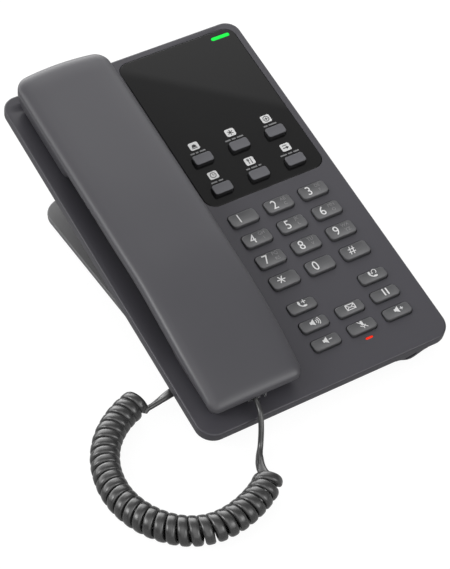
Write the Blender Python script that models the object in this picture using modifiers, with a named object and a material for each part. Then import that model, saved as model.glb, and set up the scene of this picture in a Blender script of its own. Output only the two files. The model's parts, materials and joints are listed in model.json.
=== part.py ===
"""Desk IP phone: sloped flat case with a corded handset on the left, keypad, glossy panel and fold-out stand.

Every piece is modelled in the case frame (X right, Y towards the rear, Z out of the case top) and placed on
an empty that tilts the case the way its stand holds it. The world origin is on the desk, under the middle
of the front rubber foot. Run with: blender --background --python part.py
"""

import math

import bmesh
import bpy
from mathutils import Matrix, Vector

MM = 0.001
NAME = "desk_ip_phone"

# Case and tilt (mm, degrees)
CASE_W, CASE_L = 135.0, 215.0
CASE_RIM = 5.3
CASE_TOP = 3.0
CASE_WALL = 2.2
CASE_EDGE = 0.9
FRONT_CORNER, REAR_CORNER = 9.0, 8.0
TILT = 11.68
FOOT_Y = -90.0
FOOT_DROP = 15.1
GAP = 0.3

# Lower housing: half width, half length and the breaks of its stepped underside
PAN_X, PAN_FRONT, PAN_REAR, PAN_CORNER = 58.4, -97.0, 104.6, 6.0
PAN_WALL = 1.8
PAN_FRONT_DEPTH = 12.3
PAN_DEPTH = 17.5
PAN_BREAKS = (-62.0, 12.0, 77.0)
STAND_ANGLE = 17.2
STAND_FOLD = 7.2
PAN_SLOPE = math.radians(STAND_ANGLE - STAND_FOLD - 0.3)

# Cradle trough
TROUGH_LEFT, TROUGH_RIGHT = -65.0, -13.3
TROUGH_FRONT, TROUGH_REAR = -98.0, 102.5
TROUGH_DEPTH = 6.5
TROUGH_WALL = 1.6

# Handset
HANDSET_X = -37.1
HANDSET_HALF = 25.2
HANDSET_FRONT, HANDSET_REAR = -101.0, 104.8
HANDSET_EDGE = 20.9
DROOP_START, DROOP = -20.0, 9.6
HANDSET_PART, HANDSET_PART_FRONT = 5.6, 3.6
HANDSET_WALL = 1.8
EAR_BOTTOM, GRIP_BOTTOM, MOUTH_BOTTOM = -1.2, 8.0, 0.6
EAR_Y, MOUTH_Y = 75.0, -80.0
EAR_HOLE_RING, EAR_HOLE_R = 6.0, 0.9

# Keys: columns, rows, cap sizes
DIAL_COLUMNS = (8.8, 28.7, 48.6)
DIAL_ROWS = (-7.9, -21.2, -34.5, -47.8)
DIAL_NAMES = (("key_1", "key_2", "key_3"), ("key_4", "key_5", "key_6"),
              ("key_7", "key_8", "key_9"), ("key_star", "key_0", "key_hash"))
FUNCTION_ROWS = (-64.2, -75.4, -86.5)
FUNCTION_NAMES = (("transfer_key", None, "redial_key"), ("speaker_key", "message_key", "hold_key"),
                  ("volume_down_key", "mute_key", "volume_up_key"))
SERVICE_COLUMNS = (8.0, 28.9, 49.8)
SERVICE_ROWS = (31.8, 11.9)
DIAL_CAP, FUNCTION_CAP, SERVICE_CAP = (14.6, 8.0), (14.4, 6.4), (10.2, 5.6)
KEY_BOTTOM = -4.2
KEY_TRAVEL = 1.0
KEY_CLEARANCE = 0.35

# Panel and lights
PANEL_X, PANEL_Y, PANEL_CORNER = (-3.5, 63.6), (4.2, 103.4), 6.0
PANEL_THICKNESS = 1.4
MESSAGE_LIGHT = (55.6, 99.3, 10.6, 2.0)
MUTE_LIGHT = (29.1, -92.9, 3.8, 1.2)

# Inside the case. A key at the end of its travel stops a gap above its dome.
MAT_TOP, MAT_THICKNESS = -6.2, 0.8
DOME_TOP = KEY_BOTTOM - KEY_TRAVEL - GAP
DOME_FOOT_R, DOME_TOP_R = 2.4, 1.6
BOARD_TOP, BOARD_THICKNESS = -7.3, 1.6
BOARD_X, BOARD_Y = (-9.0, 55.0), (-93.0, 98.0)
CHIPS = ((20.0, 40.0, 12.0), (38.0, 38.0, 8.0), (10.0, 64.0, 9.0), (26.0, 66.0, 6.0))
CHIP_THICKNESS = 1.4
NETWORK_JACK = (16.0, 15.5, 13.0)
SOCKET_SIDE, SOCKET_FLOOR, SOCKET_ROOF, SOCKET_DEPTH = 2.1, 2.2, 4.0, 14.5
OPENING_MARGIN = 0.6
NETWORK_X = {"lan_jack": 12.0, "pc_jack": 34.0}
SPEAKER_X, SPEAKER_Y, SPEAKER_R = -38.0, -20.0, 16.0
GRILLE_X, GRILLE_Y = (-53.0, -47.0, -41.0), (-36.0, -30.0, -24.0, -18.0, -12.0, -6.0)
GRILLE_HOLE_R = 0.8
PLUNGER_R, PLUNGER_HEAD_R, PLUNGER_FLANGE_R = 2.3, 3.4, 4.4
HOOK_RISE = 3.0
PLUNGER_FLANGE = -TROUGH_DEPTH - TROUGH_WALL - HOOK_RISE - 0.7
HOOK_SWITCH = (6.4, 3.3)
SCREWS = {"case_screw_1": (38.7, -56.4), "case_screw_2": (50.0, 60.0),
          "case_screw_3": (-52.0, -60.0), "case_screw_4": (-52.0, 62.0)}
BOSS_R, SHANK_R, HEAD_R, PAD_R = 3.1, 1.3, 2.9, 4.6
SCREW_LENGTH = 11.6

# Stand
HINGE_Y, HINGE_Z = -45.0, -9.5
STAND_LENGTH = 120.0
STAND_CORNER = 14.0
STAND_PLATE_START = 60.0
STAND_X, STAND_ARM = 63.2, 4.4
STAND_HALF_THICKNESS = 1.4
KNUCKLE_R, PIN_R = 3.2, 1.5
STAND_FOOT = (44.0, 113.0, 16.0, 8.0)
STAND_SLOT_X, STAND_SLOT_HALF, STAND_SLOT = 50.0, 1.0, (69.0, 84.0)
FRONT_FOOT_X, FRONT_FOOT_HALF = 48.0, 4.0

# Microphone lobe, jacks and cord
MICROPHONE_X, MICROPHONE_Y, MICROPHONE_Z = 45.0, -103.2, -7.5
MICROPHONE_REACH, MICROPHONE_DROP, MICROPHONE_R = 9.0, 4.3, 1.2
PORT_HALF, PORT_HALF_HEIGHT = 2.2, 0.5
LINE_JACK_Y, LINE_JACK_Z = -73.5, -8.7
LINE_BODY, LINE_OPENING, LINE_SOCKET, LINE_PLUG = (4.6, 3.7), (4.2, 3.2), (3.7, 3.0), (3.3, 2.7)
PLUG_X, PLUG_Z = -38.4, 5.8
COIL_R, WIRE_R = 5.7, 1.3
COIL_TURNS, COIL_STEPS = 28, 8
COIL_HEIGHT = 7.0

MATERIALS = {
    "case_plastic": ((0.075, 0.075, 0.080), 0.45, 0.0),
    "handset_plastic": ((0.110, 0.110, 0.115), 0.42, 0.0),
    "base_plastic": ((0.060, 0.060, 0.063), 0.55, 0.0),
    "key_plastic": ((0.110, 0.110, 0.115), 0.45, 0.0),
    "service_key_plastic": ((0.130, 0.130, 0.140), 0.45, 0.0),
    "panel_gloss": ((0.022, 0.022, 0.023), 0.12, 0.0),
    "green_light": ((0.010, 0.900, 0.100), 0.30, 0.0),
    "red_light": ((0.900, 0.030, 0.010), 0.30, 0.0),
    "silicone": ((0.250, 0.250, 0.260), 0.70, 0.0),
    "circuit_board": ((0.020, 0.160, 0.060), 0.40, 0.0),
    "jack_plastic": ((0.030, 0.030, 0.032), 0.50, 0.0),
    "clear_plastic": ((0.450, 0.450, 0.460), 0.20, 0.0),
    "cord_rubber": ((0.050, 0.050, 0.052), 0.40, 0.0),
    "foot_rubber": ((0.030, 0.030, 0.030), 0.90, 0.0),
    "speaker_metal": ((0.400, 0.400, 0.420), 0.35, 1.0),
    "steel": ((0.550, 0.550, 0.570), 0.30, 1.0),
}


# ---------------------------------------------------------------- scene helpers

def clear_scene():
    for obj in list(bpy.data.objects):
        bpy.data.objects.remove(obj, do_unlink=True)


def new_collection(name):
    collection = bpy.data.collections.new(name)
    bpy.context.scene.collection.children.link(collection)
    return collection


def get_material(name):
    material = bpy.data.materials.get(name)
    if material is None:
        color, roughness, metallic = MATERIALS[name]
        material = bpy.data.materials.new(name)
        material.use_nodes = True
        shader = material.node_tree.nodes["Principled BSDF"]
        shader.inputs["Base Color"].default_value = (*color, 1.0)
        shader.inputs["Roughness"].default_value = roughness
        shader.inputs["Metallic"].default_value = metallic
    return material


def new_empty(name, parent=None, location=(0, 0, 0), angle_x=0.0):
    empty = bpy.data.objects.new(name, None)
    empty.empty_display_size = 0.02
    parts.objects.link(empty)
    empty.parent = parent
    empty.location = Vector(location) * MM
    empty.rotation_euler = (math.radians(angle_x), 0.0, 0.0)
    return empty


def add_object(name, bm, material=None, parent=None, location=(0, 0, 0)):
    """Makes an object of a bmesh drawn in millimetres; with no material it is a cutter."""
    bm.normal_update()
    bmesh.ops.recalc_face_normals(bm, faces=bm.faces)
    mesh = bpy.data.meshes.new(name)
    bm.to_mesh(mesh)
    bm.free()
    mesh.transform(Matrix.Scale(MM, 4))
    obj = bpy.data.objects.new(name, mesh)
    obj.parent = tilt if parent is None else parent
    obj.location = Vector(location) * MM
    if material is None:
        cutters.objects.link(obj)
        obj.hide_render = True
        obj.display_type = "WIRE"
    else:
        parts.objects.link(obj)
        mesh.materials.append(get_material(material))
        mesh.shade_smooth()
        mesh.set_sharp_from_angle(angle=math.radians(35))
    return obj


def boolean(target, tool, operation="DIFFERENCE", crossing=False):
    """Joins or cuts with a tool; crossing says that the tool's own bodies overlap each other."""
    modifier = target.modifiers.new(tool.name, "BOOLEAN")
    modifier.operation = operation
    modifier.solver = "EXACT"
    modifier.use_self = crossing
    modifier.object = tool


# ---------------------------------------------------------------- shapes, drawn in millimetres

def box(bm, x, y, z):
    """Adds a box that spans the three (low, high) pairs."""
    made = bmesh.ops.create_cube(bm, size=1.0)
    for vert in made["verts"]:
        for axis, (low, high) in enumerate((x, y, z)):
            vert.co[axis] = low if vert.co[axis] < 0 else high
    return made["verts"]


def cylinder(bm, centre, radius, z, sides=16, top_radius=None):
    """Adds an upright cylinder or cone frustum that spans the (low, high) pair z."""
    made = bmesh.ops.create_cone(bm, cap_ends=True, segments=sides, radius1=radius,
                                 radius2=radius if top_radius is None else top_radius, depth=z[1] - z[0])
    shift = Vector((centre[0], centre[1], (z[0] + z[1]) / 2))
    bmesh.ops.translate(bm, verts=made["verts"], vec=shift)
    return made["verts"]


def rod(bm, centre, radius, x, sides=16):
    """Adds a cylinder along X through centre (y, z) that spans the (low, high) pair x."""
    verts = cylinder(bm, (0, 0), radius, x, sides)
    for vert in verts:
        vert.co = Vector((vert.co.z, centre[0] + vert.co.x, centre[1] + vert.co.y))
    return verts


def box_object(name, x, y, z, material=None, bevel=0.0, **place):
    bm = bmesh.new()
    box(bm, x, y, z)
    if bevel:
        bmesh.ops.bevel(bm, geom=bm.edges[:], offset=bevel, segments=2, profile=0.5, affect="EDGES")
    return add_object(name, bm, material, **place)


def half_outline(half_x, y, corners, steps=4, stations=()):
    """The right half of a rounded rectangle, from the front edge to the rear edge.

    y is (front, rear), corners is (front radius, rear radius) and stations are extra places along the side.
    """
    (front, rear), (front_r, rear_r) = y, corners
    points = []
    for step in range(steps + 1):
        angle = math.radians(-90 + 90 * step / steps)
        points.append((half_x - front_r * (1 - math.cos(angle)), front + front_r * (1 + math.sin(angle))))
    first, last, count = front + front_r, rear - rear_r, len(stations)
    for i, place in enumerate(stations):
        points.append((half_x, min(max(place, first + 0.4 * (i + 1)), last - 0.4 * (count - i))))
    for step in range(steps + 1):
        angle = math.radians(90 * step / steps)
        points.append((half_x - rear_r * (1 - math.cos(angle)), rear - rear_r * (1 - math.sin(angle))))
    return points


def ring(bm, half, height, centre_x=0.0):
    """One closed ring: the half outline and its mirror image, at a height that may depend on x and y."""
    level = height if callable(height) else lambda x, y: height
    right = [bm.verts.new((centre_x + x, y, level(x, y))) for x, y in half]
    left = [bm.verts.new((centre_x - x, y, level(x, y))) for x, y in reversed(half)]
    return right + left


def skin(bm, rings):
    """Joins rings of equal length in order and closes the first and the last with a ladder of quads."""
    count = len(rings[0])
    for low, high in zip(rings, rings[1:]):
        for i in range(count):
            j = (i + 1) % count
            bm.faces.new((low[i], low[j], high[j], high[i]))
    for loop in (rings[0], rings[-1]):
        for i in range(count // 2 - 1):
            bm.faces.new((loop[i], loop[i + 1], loop[count - 2 - i], loop[count - 1 - i]))


def rounded_plate(name, half_x, y, corners, z, material=None, centre_x=0.0, edge=0.0, **place):
    """A plate with rounded corners and, with edge, a rounded upper rim."""
    bm = bmesh.new()
    half = half_outline(half_x, y, corners)
    levels = [(0.0, z[0]), (0.0, z[1])]
    if edge:
        turns = [math.radians(angle) for angle in (0, 45, 90)]
        levels = [(0.0, z[0])]
        levels += [(edge * (1 - math.cos(turn)), z[1] - edge * (1 - math.sin(turn))) for turn in turns]
    rings = []
    for inset, height in levels:
        shape = half_outline(half_x - inset, (y[0] + inset, y[1] - inset), [r - inset for r in corners])
        rings.append(ring(bm, shape if inset else half, height, centre_x))
    skin(bm, rings)
    return add_object(name, bm, material, **place)


def turned(name, profile, material, sides=20, location=(0, 0, 0)):
    """A turned piece: profile is (radius, height) from the top of the axis down to its foot."""
    bm = bmesh.new()
    verts = [bm.verts.new((radius, 0, height)) for radius, height in profile]
    for upper, lower in zip(verts, verts[1:]):
        bm.edges.new((upper, lower))
    obj = add_object(name, bm, material, location=location)
    screw = obj.modifiers.new("turn", "SCREW")
    screw.steps = screw.render_steps = sides
    screw.use_merge_vertices = True
    screw.merge_threshold = 0.00001
    return obj


# ---------------------------------------------------------------- profiles

def ramp(value, start, end):
    """0 at start, 1 at end, smooth in between."""
    t = min(max((value - start) / (end - start), 0.0), 1.0)
    return t * t * (3 - 2 * t)


def trough_depth(x, y):
    """Depth of the cradle trough below the case top: it fades out at the front and is steep at the rear."""
    along = ramp(y, TROUGH_FRONT, -38.0) * ramp(y, TROUGH_REAR, TROUGH_REAR - 5)
    left = min(max((x - TROUGH_LEFT) / 21.0, 0.0), 1.0) ** 1.4
    return TROUGH_DEPTH * along * left * ramp(x, TROUGH_RIGHT, -18.0)


def pan_bottom(y):
    """Height of the lower housing's underside: thin at the front, then level, sloping down and level again."""
    first, second, third = PAN_BREAKS
    if y < first:
        share = (y - PAN_FRONT) / (first - PAN_FRONT)
        return -PAN_FRONT_DEPTH - share * (PAN_DEPTH - PAN_FRONT_DEPTH)
    return -PAN_DEPTH - math.tan(PAN_SLOPE) * (min(max(y, second), third) - second)


def desk_height(y):
    """Height of the desk in the case frame."""
    return -FOOT_DROP - math.tan(math.radians(TILT)) * (y - FOOT_Y)


def handset_half_width(y):
    """Half width of the handset: a very slight waist ahead of the middle and a taper at the mouth end."""
    return HANDSET_HALF - 0.3 * math.exp(-((y + 28) / 16) ** 2) - 0.9 * ramp(y, -68.0, HANDSET_FRONT)


def handset_edge(y):
    """Height of the handset's upper edge: falling a little to the rear and arching down to the mouth end."""
    reach = max(DROOP_START - y, 0.0) / (DROOP_START - HANDSET_FRONT)
    return HANDSET_EDGE - 1.5 * ramp(y, 0.0, 100.0) - DROOP * reach ** 1.85


def handset_skirt(y):
    """Depth of the upper shell's skirt below its edge, down to the parting line."""
    return HANDSET_PART + (HANDSET_PART_FRONT - HANDSET_PART) * ramp(y, -55.0, -98.0)


def handset_bottom(y):
    """Height of the handset's underside: ear cup, arched grip, mouth cup."""
    ear = ramp(y, 42.0, 53.0)
    mouth = ramp(y, -57.0, -66.0)
    arch = GRIP_BOTTOM + 0.8 * math.cos(math.radians(y * 1.6))
    return arch * (1 - ear) * (1 - mouth) + EAR_BOTTOM * ear + MOUTH_BOTTOM * mouth


HANDSET_STATIONS = (-90, -78, -66, -62, -57, -46, -34, -20, 0, 22, 42, 46, 50, 53, 66, 80, 92)


def handset_outline(inset):
    """Right half of the handset's outline, drawn in by inset, with a bowed rear end."""
    plain = half_outline(HANDSET_HALF - inset, (HANDSET_FRONT + inset, HANDSET_REAR - 2.5 - inset),
                         (max(5.0 - inset, 0.6), max(7.0 - inset, 0.6)), 3, HANDSET_STATIONS)
    middle = HANDSET_HALF - inset
    plain += [(0.5 * middle, plain[-1][1]), (0.2 * middle, plain[-1][1])]
    shaped = []
    for x, y in plain:
        bow = 2.5 * (1 - (x / HANDSET_HALF) ** 2) * ramp(y, 60.0, 100.0)
        shaped.append((x * handset_half_width(y) / HANDSET_HALF, y + bow))
    return shaped


# ---------------------------------------------------------------- case

def make_trough(name, wall, top):
    """The trough as a solid: a grid pushed into its form, finer towards the rear, closed by a lid at top."""
    bm = bmesh.new()
    bmesh.ops.create_grid(bm, x_segments=12, y_segments=15, size=1.0)
    left, right = TROUGH_LEFT - wall, TROUGH_RIGHT + wall
    front, rear = TROUGH_FRONT - wall, TROUGH_REAR + wall
    lid = bmesh.ops.extrude_face_region(bm, geom=bm.faces[:])
    lid_verts = {item for item in lid["geom"] if isinstance(item, bmesh.types.BMVert)}
    for vert in bm.verts:
        across = (vert.co.x + 1) / 2
        along = 1 - ((1 - vert.co.y) / 2) ** 1.6
        x = left + (right - left) * across
        y = front + (rear - front) * along
        inner_x = TROUGH_LEFT + (TROUGH_RIGHT - TROUGH_LEFT) * across
        inner_y = TROUGH_FRONT + (TROUGH_REAR - TROUGH_FRONT) * along
        floor = min(-trough_depth(inner_x, inner_y) - wall, top - 0.1)
        vert.co = (x, y, top if vert in lid_verts else floor)
    return bm


def make_top_case():
    case = rounded_plate("top_case", CASE_W / 2, (-CASE_L / 2, CASE_L / 2), (FRONT_CORNER, REAR_CORNER),
                         (-CASE_RIM, 0.0), "case_plastic", edge=CASE_EDGE)
    inner_x, inner_y = CASE_W / 2 - CASE_WALL, CASE_L / 2 - CASE_WALL
    hollow = rounded_plate("case_hollow", inner_x, (-inner_y, inner_y),
                           (FRONT_CORNER - CASE_WALL, REAR_CORNER - CASE_WALL), (-CASE_RIM - 1, -CASE_TOP))
    boolean(case, hollow)
    boolean(case, add_object("trough_tub", make_trough("tub", TROUGH_WALL, -CASE_TOP + 0.5)), "UNION")
    bosses = bmesh.new()
    for x, y in SCREWS.values():
        top = -CASE_TOP + 0.6 if x > 0 else -CASE_TOP - 0.5
        cylinder(bosses, (x, y), BOSS_R, (pan_bottom(y) + 5.6, top), 12)
    boolean(case, add_object("screw_bosses", bosses), "UNION")
    boolean(case, add_object("trough_hollow", make_trough("hollow", 0.0, 1.0)))
    boolean(case, make_microphone_bump(), "UNION")
    boolean(case, make_cradle_ribs(), "UNION")
    boolean(case, rounded_plate("panel_recess", (PANEL_X[1] - PANEL_X[0]) / 2 + GAP,
                                (PANEL_Y[0] - GAP, PANEL_Y[1] + GAP), (PANEL_CORNER, PANEL_CORNER),
                                (-PANEL_THICKNESS - GAP, 1.0), centre_x=sum(PANEL_X) / 2))
    holes = bmesh.new()
    for _, x, y, (width, length), _ in key_places():
        reach = KEY_CLEARANCE
        box(holes, (x - width / 2 - reach, x + width / 2 + reach),
            (y - length / 2 - reach, y + length / 2 + reach), (-6.0, 2.0))
    for x, y, width, length in (MESSAGE_LIGHT, MUTE_LIGHT):
        box(holes, (x - width / 2 - GAP, x + width / 2 + GAP), (y - length / 2 - GAP, y + length / 2 + GAP),
            (-6.0, 2.0))
    boolean(case, add_object("top_openings", holes))
    small = bmesh.new()
    for x in GRILLE_X:
        for y in GRILLE_Y:
            cylinder(small, (x, y), GRILLE_HOLE_R, (-12.0, 2.0), 6)
    cylinder(small, (HANDSET_X, EAR_Y), PLUNGER_R + 2 * GAP, (-12.0, 2.0), 12)
    for x, y in SCREWS.values():
        cylinder(small, (x, y), SHANK_R + GAP, (pan_bottom(y), -CASE_TOP - 1.5), 12)
    boolean(case, add_object("small_openings", small))
    boolean(case, box_object("microphone_port", (MICROPHONE_X - PORT_HALF, MICROPHONE_X + PORT_HALF),
                             (-CASE_L / 2 - 1, MICROPHONE_Y - 0.8),
                             (MICROPHONE_Z - PORT_HALF_HEIGHT, MICROPHONE_Z + PORT_HALF_HEIGHT)))
    pocket = MICROPHONE_R + 0.4
    boolean(case, box_object("microphone_pocket", (MICROPHONE_X - pocket, MICROPHONE_X + pocket),
                             (MICROPHONE_Y - 1.5, -100.0), (MICROPHONE_Z - pocket, MICROPHONE_Z + pocket)))
    return case


def make_microphone_bump():
    """The rounded lobe under the front edge that holds the hands-free microphone."""
    bm = bmesh.new()
    middle, reach, drop = MICROPHONE_X, MICROPHONE_REACH, MICROPHONE_DROP
    joined, clear = -CASE_RIM + 0.8, -CASE_RIM - 0.25
    rings = []
    for y, top in ((-CASE_L / 2 + 0.05, joined), (-CASE_L / 2 + CASE_WALL, joined),
                   (-CASE_L / 2 + CASE_WALL + 0.1, clear), (-101.0, clear)):
        outline = [(middle - reach, top)]
        for step in range(9):
            across = -reach + 2 * reach * step / 8
            outline.append((middle + across, clear - drop * math.cos(math.pi * across / (2 * reach)) ** 2))
        outline.append((middle + reach, top))
        rings.append([bm.verts.new((x, y, z)) for x, z in outline])
    for low, high in zip(rings, rings[1:]):
        for i in range(len(low)):
            j = (i + 1) % len(low)
            bm.faces.new((low[i], low[j], high[j], high[i]))
    bm.faces.new(rings[0])
    bm.faces.new(rings[-1])
    return add_object("microphone_bump", bm)


def make_cradle_ribs():
    """Cross ribs on the trough floor that the ear cup and the mouth cup rest on."""
    bm = bmesh.new()
    for y in (60.0, 90.0):
        box(bm, (-46.0, -28.0), (y - 1, y + 1), (-TROUGH_DEPTH - 0.6, EAR_BOTTOM - GAP))
    for y in (-90.0, -70.0):
        box(bm, (-46.0, -28.0), (y - 1, y + 1), (-CASE_TOP + 0.4, MOUTH_BOTTOM - GAP))
    return add_object("cradle_ribs", bm)


def make_bottom_case():
    """Lower housing: a flange inside the case rim, a stepped pan, screw pads and the jack openings."""

    def pan(bm, inset, lift, top):
        def outline(extra):
            return half_outline(PAN_X - inset - extra, (PAN_FRONT + inset + extra, PAN_REAR - inset - extra),
                                (PAN_CORNER - inset,) * 2, 4, PAN_BREAKS)
        chamfer = 1.5
        skin(bm, [ring(bm, outline(0), top),
                  ring(bm, outline(0), lambda x, y: pan_bottom(y) + lift + chamfer),
                  ring(bm, outline(chamfer), lambda x, y: pan_bottom(y) + lift)])
        return bm

    case = add_object("bottom_case", pan(bmesh.new(), 0.0, 0.0, -4.5), "base_plastic")
    reach = CASE_WALL + 0.4
    flange = rounded_plate("flange", CASE_W / 2 - reach, (reach - CASE_L / 2, CASE_L / 2 - reach),
                           (FRONT_CORNER - reach, REAR_CORNER - reach), (-CASE_RIM, -CASE_RIM + 1.1))
    boolean(case, flange, "UNION")
    boolean(case, add_object("pan_hollow", pan(bmesh.new(), PAN_WALL, PAN_WALL, 0.0)))
    pads, pockets = bmesh.new(), bmesh.new()
    for x, y in SCREWS.values():
        base = pan_bottom(y)
        cylinder(pads, (x, y), PAD_R, (base + 0.9, base + 5.0), 12)
        cylinder(pockets, (x, y), HEAD_R + GAP, (base - 2.0, base + 2.6), 12)
        cylinder(pockets, (x, y), SHANK_R + GAP, (base, base + 7.0), 12)
    boolean(case, add_object("screw_pads", pads), "UNION")
    openings = bmesh.new()
    for x in NETWORK_X.values():
        box(openings, *socket_span(x, OPENING_MARGIN, (PAN_REAR - PAN_WALL - 1, PAN_REAR + 1)))
    box(openings, (-PAN_X - 1, -PAN_X + PAN_WALL + 0.5), *line_span(LINE_OPENING))
    for side in (-1, 1):
        rod(openings, (HINGE_Y, HINGE_Z), PIN_R + 0.2, sorted((side * 50.0, side * 60.0)), 12)
    boolean(case, add_object("case_openings", openings))
    boolean(case, add_object("screw_pockets", pockets), crossing=True)
    return case


def make_panel_and_lights():
    panel = rounded_plate("front_panel", (PANEL_X[1] - PANEL_X[0]) / 2, PANEL_Y, (PANEL_CORNER,) * 2,
                          (-PANEL_THICKNESS, 0.0), "panel_gloss", centre_x=sum(PANEL_X) / 2)
    holes = bmesh.new()
    for _, x, y, (width, length), kind in key_places():
        if kind == "service":
            box(holes, (x - width / 2 - KEY_CLEARANCE, x + width / 2 + KEY_CLEARANCE),
                (y - length / 2 - KEY_CLEARANCE, y + length / 2 + KEY_CLEARANCE), (-3.0, 2.0))
    x, y, width, length = MESSAGE_LIGHT
    reach_x, reach_y = width / 2 + GAP, length / 2 + GAP
    box(holes, (x - reach_x, x + reach_x), (y - reach_y, y + reach_y), (-3.0, 2.0))
    boolean(panel, add_object("panel_openings", holes))
    for name, (x, y, width, length), foot, color in (("message_light", MESSAGE_LIGHT, -3.0, "green_light"),
                                                     ("mute_light", MUTE_LIGHT, -5.4, "red_light")):
        rounded_plate(name, width / 2, (-length / 2, length / 2), (length / 2 - 0.05,) * 2, (foot, 0.0), color,
                      location=(x, y, 0))


# ---------------------------------------------------------------- keys

def key_places():
    """Every key as (name, x, y, cap size, kind)."""
    for names, y in zip(DIAL_NAMES, DIAL_ROWS):
        for name, x in zip(names, DIAL_COLUMNS):
            yield name, x, y, DIAL_CAP, "dial"
    for names, y in zip(FUNCTION_NAMES, FUNCTION_ROWS):
        for name, x in zip(names, DIAL_COLUMNS):
            if name:
                yield name, x, y, FUNCTION_CAP, "function"
    for row, y in enumerate(SERVICE_ROWS):
        for column, x in enumerate(SERVICE_COLUMNS):
            yield f"service_key_{row * 3 + column + 1}", x, y, SERVICE_CAP, "service"


KEY_FORMS = {"dial": (0.7, 2.1, 2.0, "key_plastic"), "function": (0.7, 1.9, 1.8, "key_plastic"),
             "service": (2.4, 2.7, 1.3, "service_key_plastic")}


def make_keys():
    for name, x, y, size, kind in key_places():
        rear, front, corner, color = KEY_FORMS[kind]
        bm = bmesh.new()
        verts = box(bm, (-size[0] / 2, size[0] / 2), (-size[1] / 2, size[1] / 2), (KEY_BOTTOM, rear))
        for vert in verts:
            if vert.co.z > 0 and vert.co.y < 0:
                vert.co.z = front
        upright = [e for e in bm.edges if abs(e.verts[0].co.z - e.verts[1].co.z) > 2]
        bmesh.ops.bevel(bm, geom=upright, offset=corner, segments=3, profile=0.5, affect="EDGES")
        rim = [e for e in bm.edges if min(v.co.z for v in e.verts) > 0]
        bmesh.ops.bevel(bm, geom=rim, offset=0.45, segments=1, profile=0.5, affect="EDGES")
        add_object(name, bm, color, location=(x, y, 0))


# ---------------------------------------------------------------- inside the case

def make_mats():
    """Silicone mats with a dome under each key."""
    for name, x, y, kinds in (("keypad_mat", (0.0, 55.0), (-91.5, -2.6), ("dial", "function")),
                              ("service_key_mat", (0.0, 55.0), (6.2, 38.0), ("service",))):
        mat = box_object(name, x, y, (MAT_TOP - MAT_THICKNESS, MAT_TOP), "silicone")
        domes = bmesh.new()
        for _, key_x, key_y, _, kind in key_places():
            if kind in kinds:
                cylinder(domes, (key_x, key_y), DOME_FOOT_R, (MAT_TOP - 0.4, DOME_TOP), 8, DOME_TOP_R)
        boolean(mat, add_object(name + "_domes", domes), "UNION")
        holes = bmesh.new()
        for hole_x, hole_y in SCREWS.values():
            if x[0] < hole_x < x[1]:
                cylinder(holes, (hole_x, hole_y), BOSS_R + 0.5, (-12, 0), 12)
        boolean(mat, add_object(name + "_holes", holes))


def network_top():
    return BOARD_TOP - BOARD_THICKNESS - GAP


def socket_span(x, margin, y):
    """The box of a network socket, drawn out by margin, over the (low, high) pair y."""
    width, _, height = NETWORK_JACK
    reach = width / 2 - SOCKET_SIDE + margin
    top = network_top()
    return (x - reach, x + reach), y, (top - height + SOCKET_FLOOR - margin, top - SOCKET_ROOF + margin)


def line_span(half):
    """The (low, high) pairs in y and z of something centred on the cord socket, from its half sizes."""
    return ((LINE_JACK_Y - half[0], LINE_JACK_Y + half[0]), (LINE_JACK_Z - half[1], LINE_JACK_Z + half[1]))


def make_board():
    low = BOARD_TOP - BOARD_THICKNESS
    board = box_object("main_board", BOARD_X, BOARD_Y, (low, BOARD_TOP), "circuit_board")
    chips = bmesh.new()
    for x, y, size in CHIPS:
        half = size / 2
        box(chips, (x - half, x + half), (y - half, y + half), (low - CHIP_THICKNESS, low + 0.4))
    boolean(board, add_object("board_chips", chips), "UNION")
    holes = bmesh.new()
    for hole_x, hole_y in SCREWS.values():
        if hole_x > 0:
            cylinder(holes, (hole_x, hole_y), BOSS_R + 0.5, (-12, 0), 12)
    boolean(board, add_object("board_holes", holes))


def make_jacks():
    width, depth, height = NETWORK_JACK
    top = network_top()
    mouth = PAN_REAR - PAN_WALL - GAP
    for name, x in NETWORK_X.items():
        jack = box_object(name, (x - width / 2, x + width / 2), (mouth - depth, mouth), (top - height, top),
                          "jack_plastic")
        boolean(jack, box_object(name + "_socket", *socket_span(x, 0.0, (mouth - SOCKET_DEPTH, PAN_REAR))))
    line = box_object("base_line_jack", (-PAN_X + PAN_WALL + 1.6, -43.0), *line_span(LINE_BODY), "jack_plastic")
    boolean(line, box_object("base_line_socket", (-60.0, -46.0), *line_span(LINE_SOCKET)))
    box_object("base_cord_plug", (-62.0, -47.0), *line_span(LINE_PLUG), "clear_plastic", bevel=0.4)


def make_sound_parts():
    turned("loudspeaker", [(0.0, -8.6), (9.0, -8.6), (SPEAKER_R, -9.4), (SPEAKER_R, -10.6), (9.0, -12.4),
                           (9.0, -15.1), (0.0, -15.1)], "speaker_metal", 20, (SPEAKER_X, SPEAKER_Y, 0))
    bm = bmesh.new()
    made = bmesh.ops.create_cone(bm, cap_ends=True, segments=12, radius1=MICROPHONE_R,
                                 radius2=MICROPHONE_R, depth=2.0)
    for vert in made["verts"]:
        vert.co = Vector((vert.co.y, vert.co.z, vert.co.x))
    add_object("hands_free_microphone", bm, "speaker_metal",
               location=(MICROPHONE_X, MICROPHONE_Y, MICROPHONE_Z))


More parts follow.
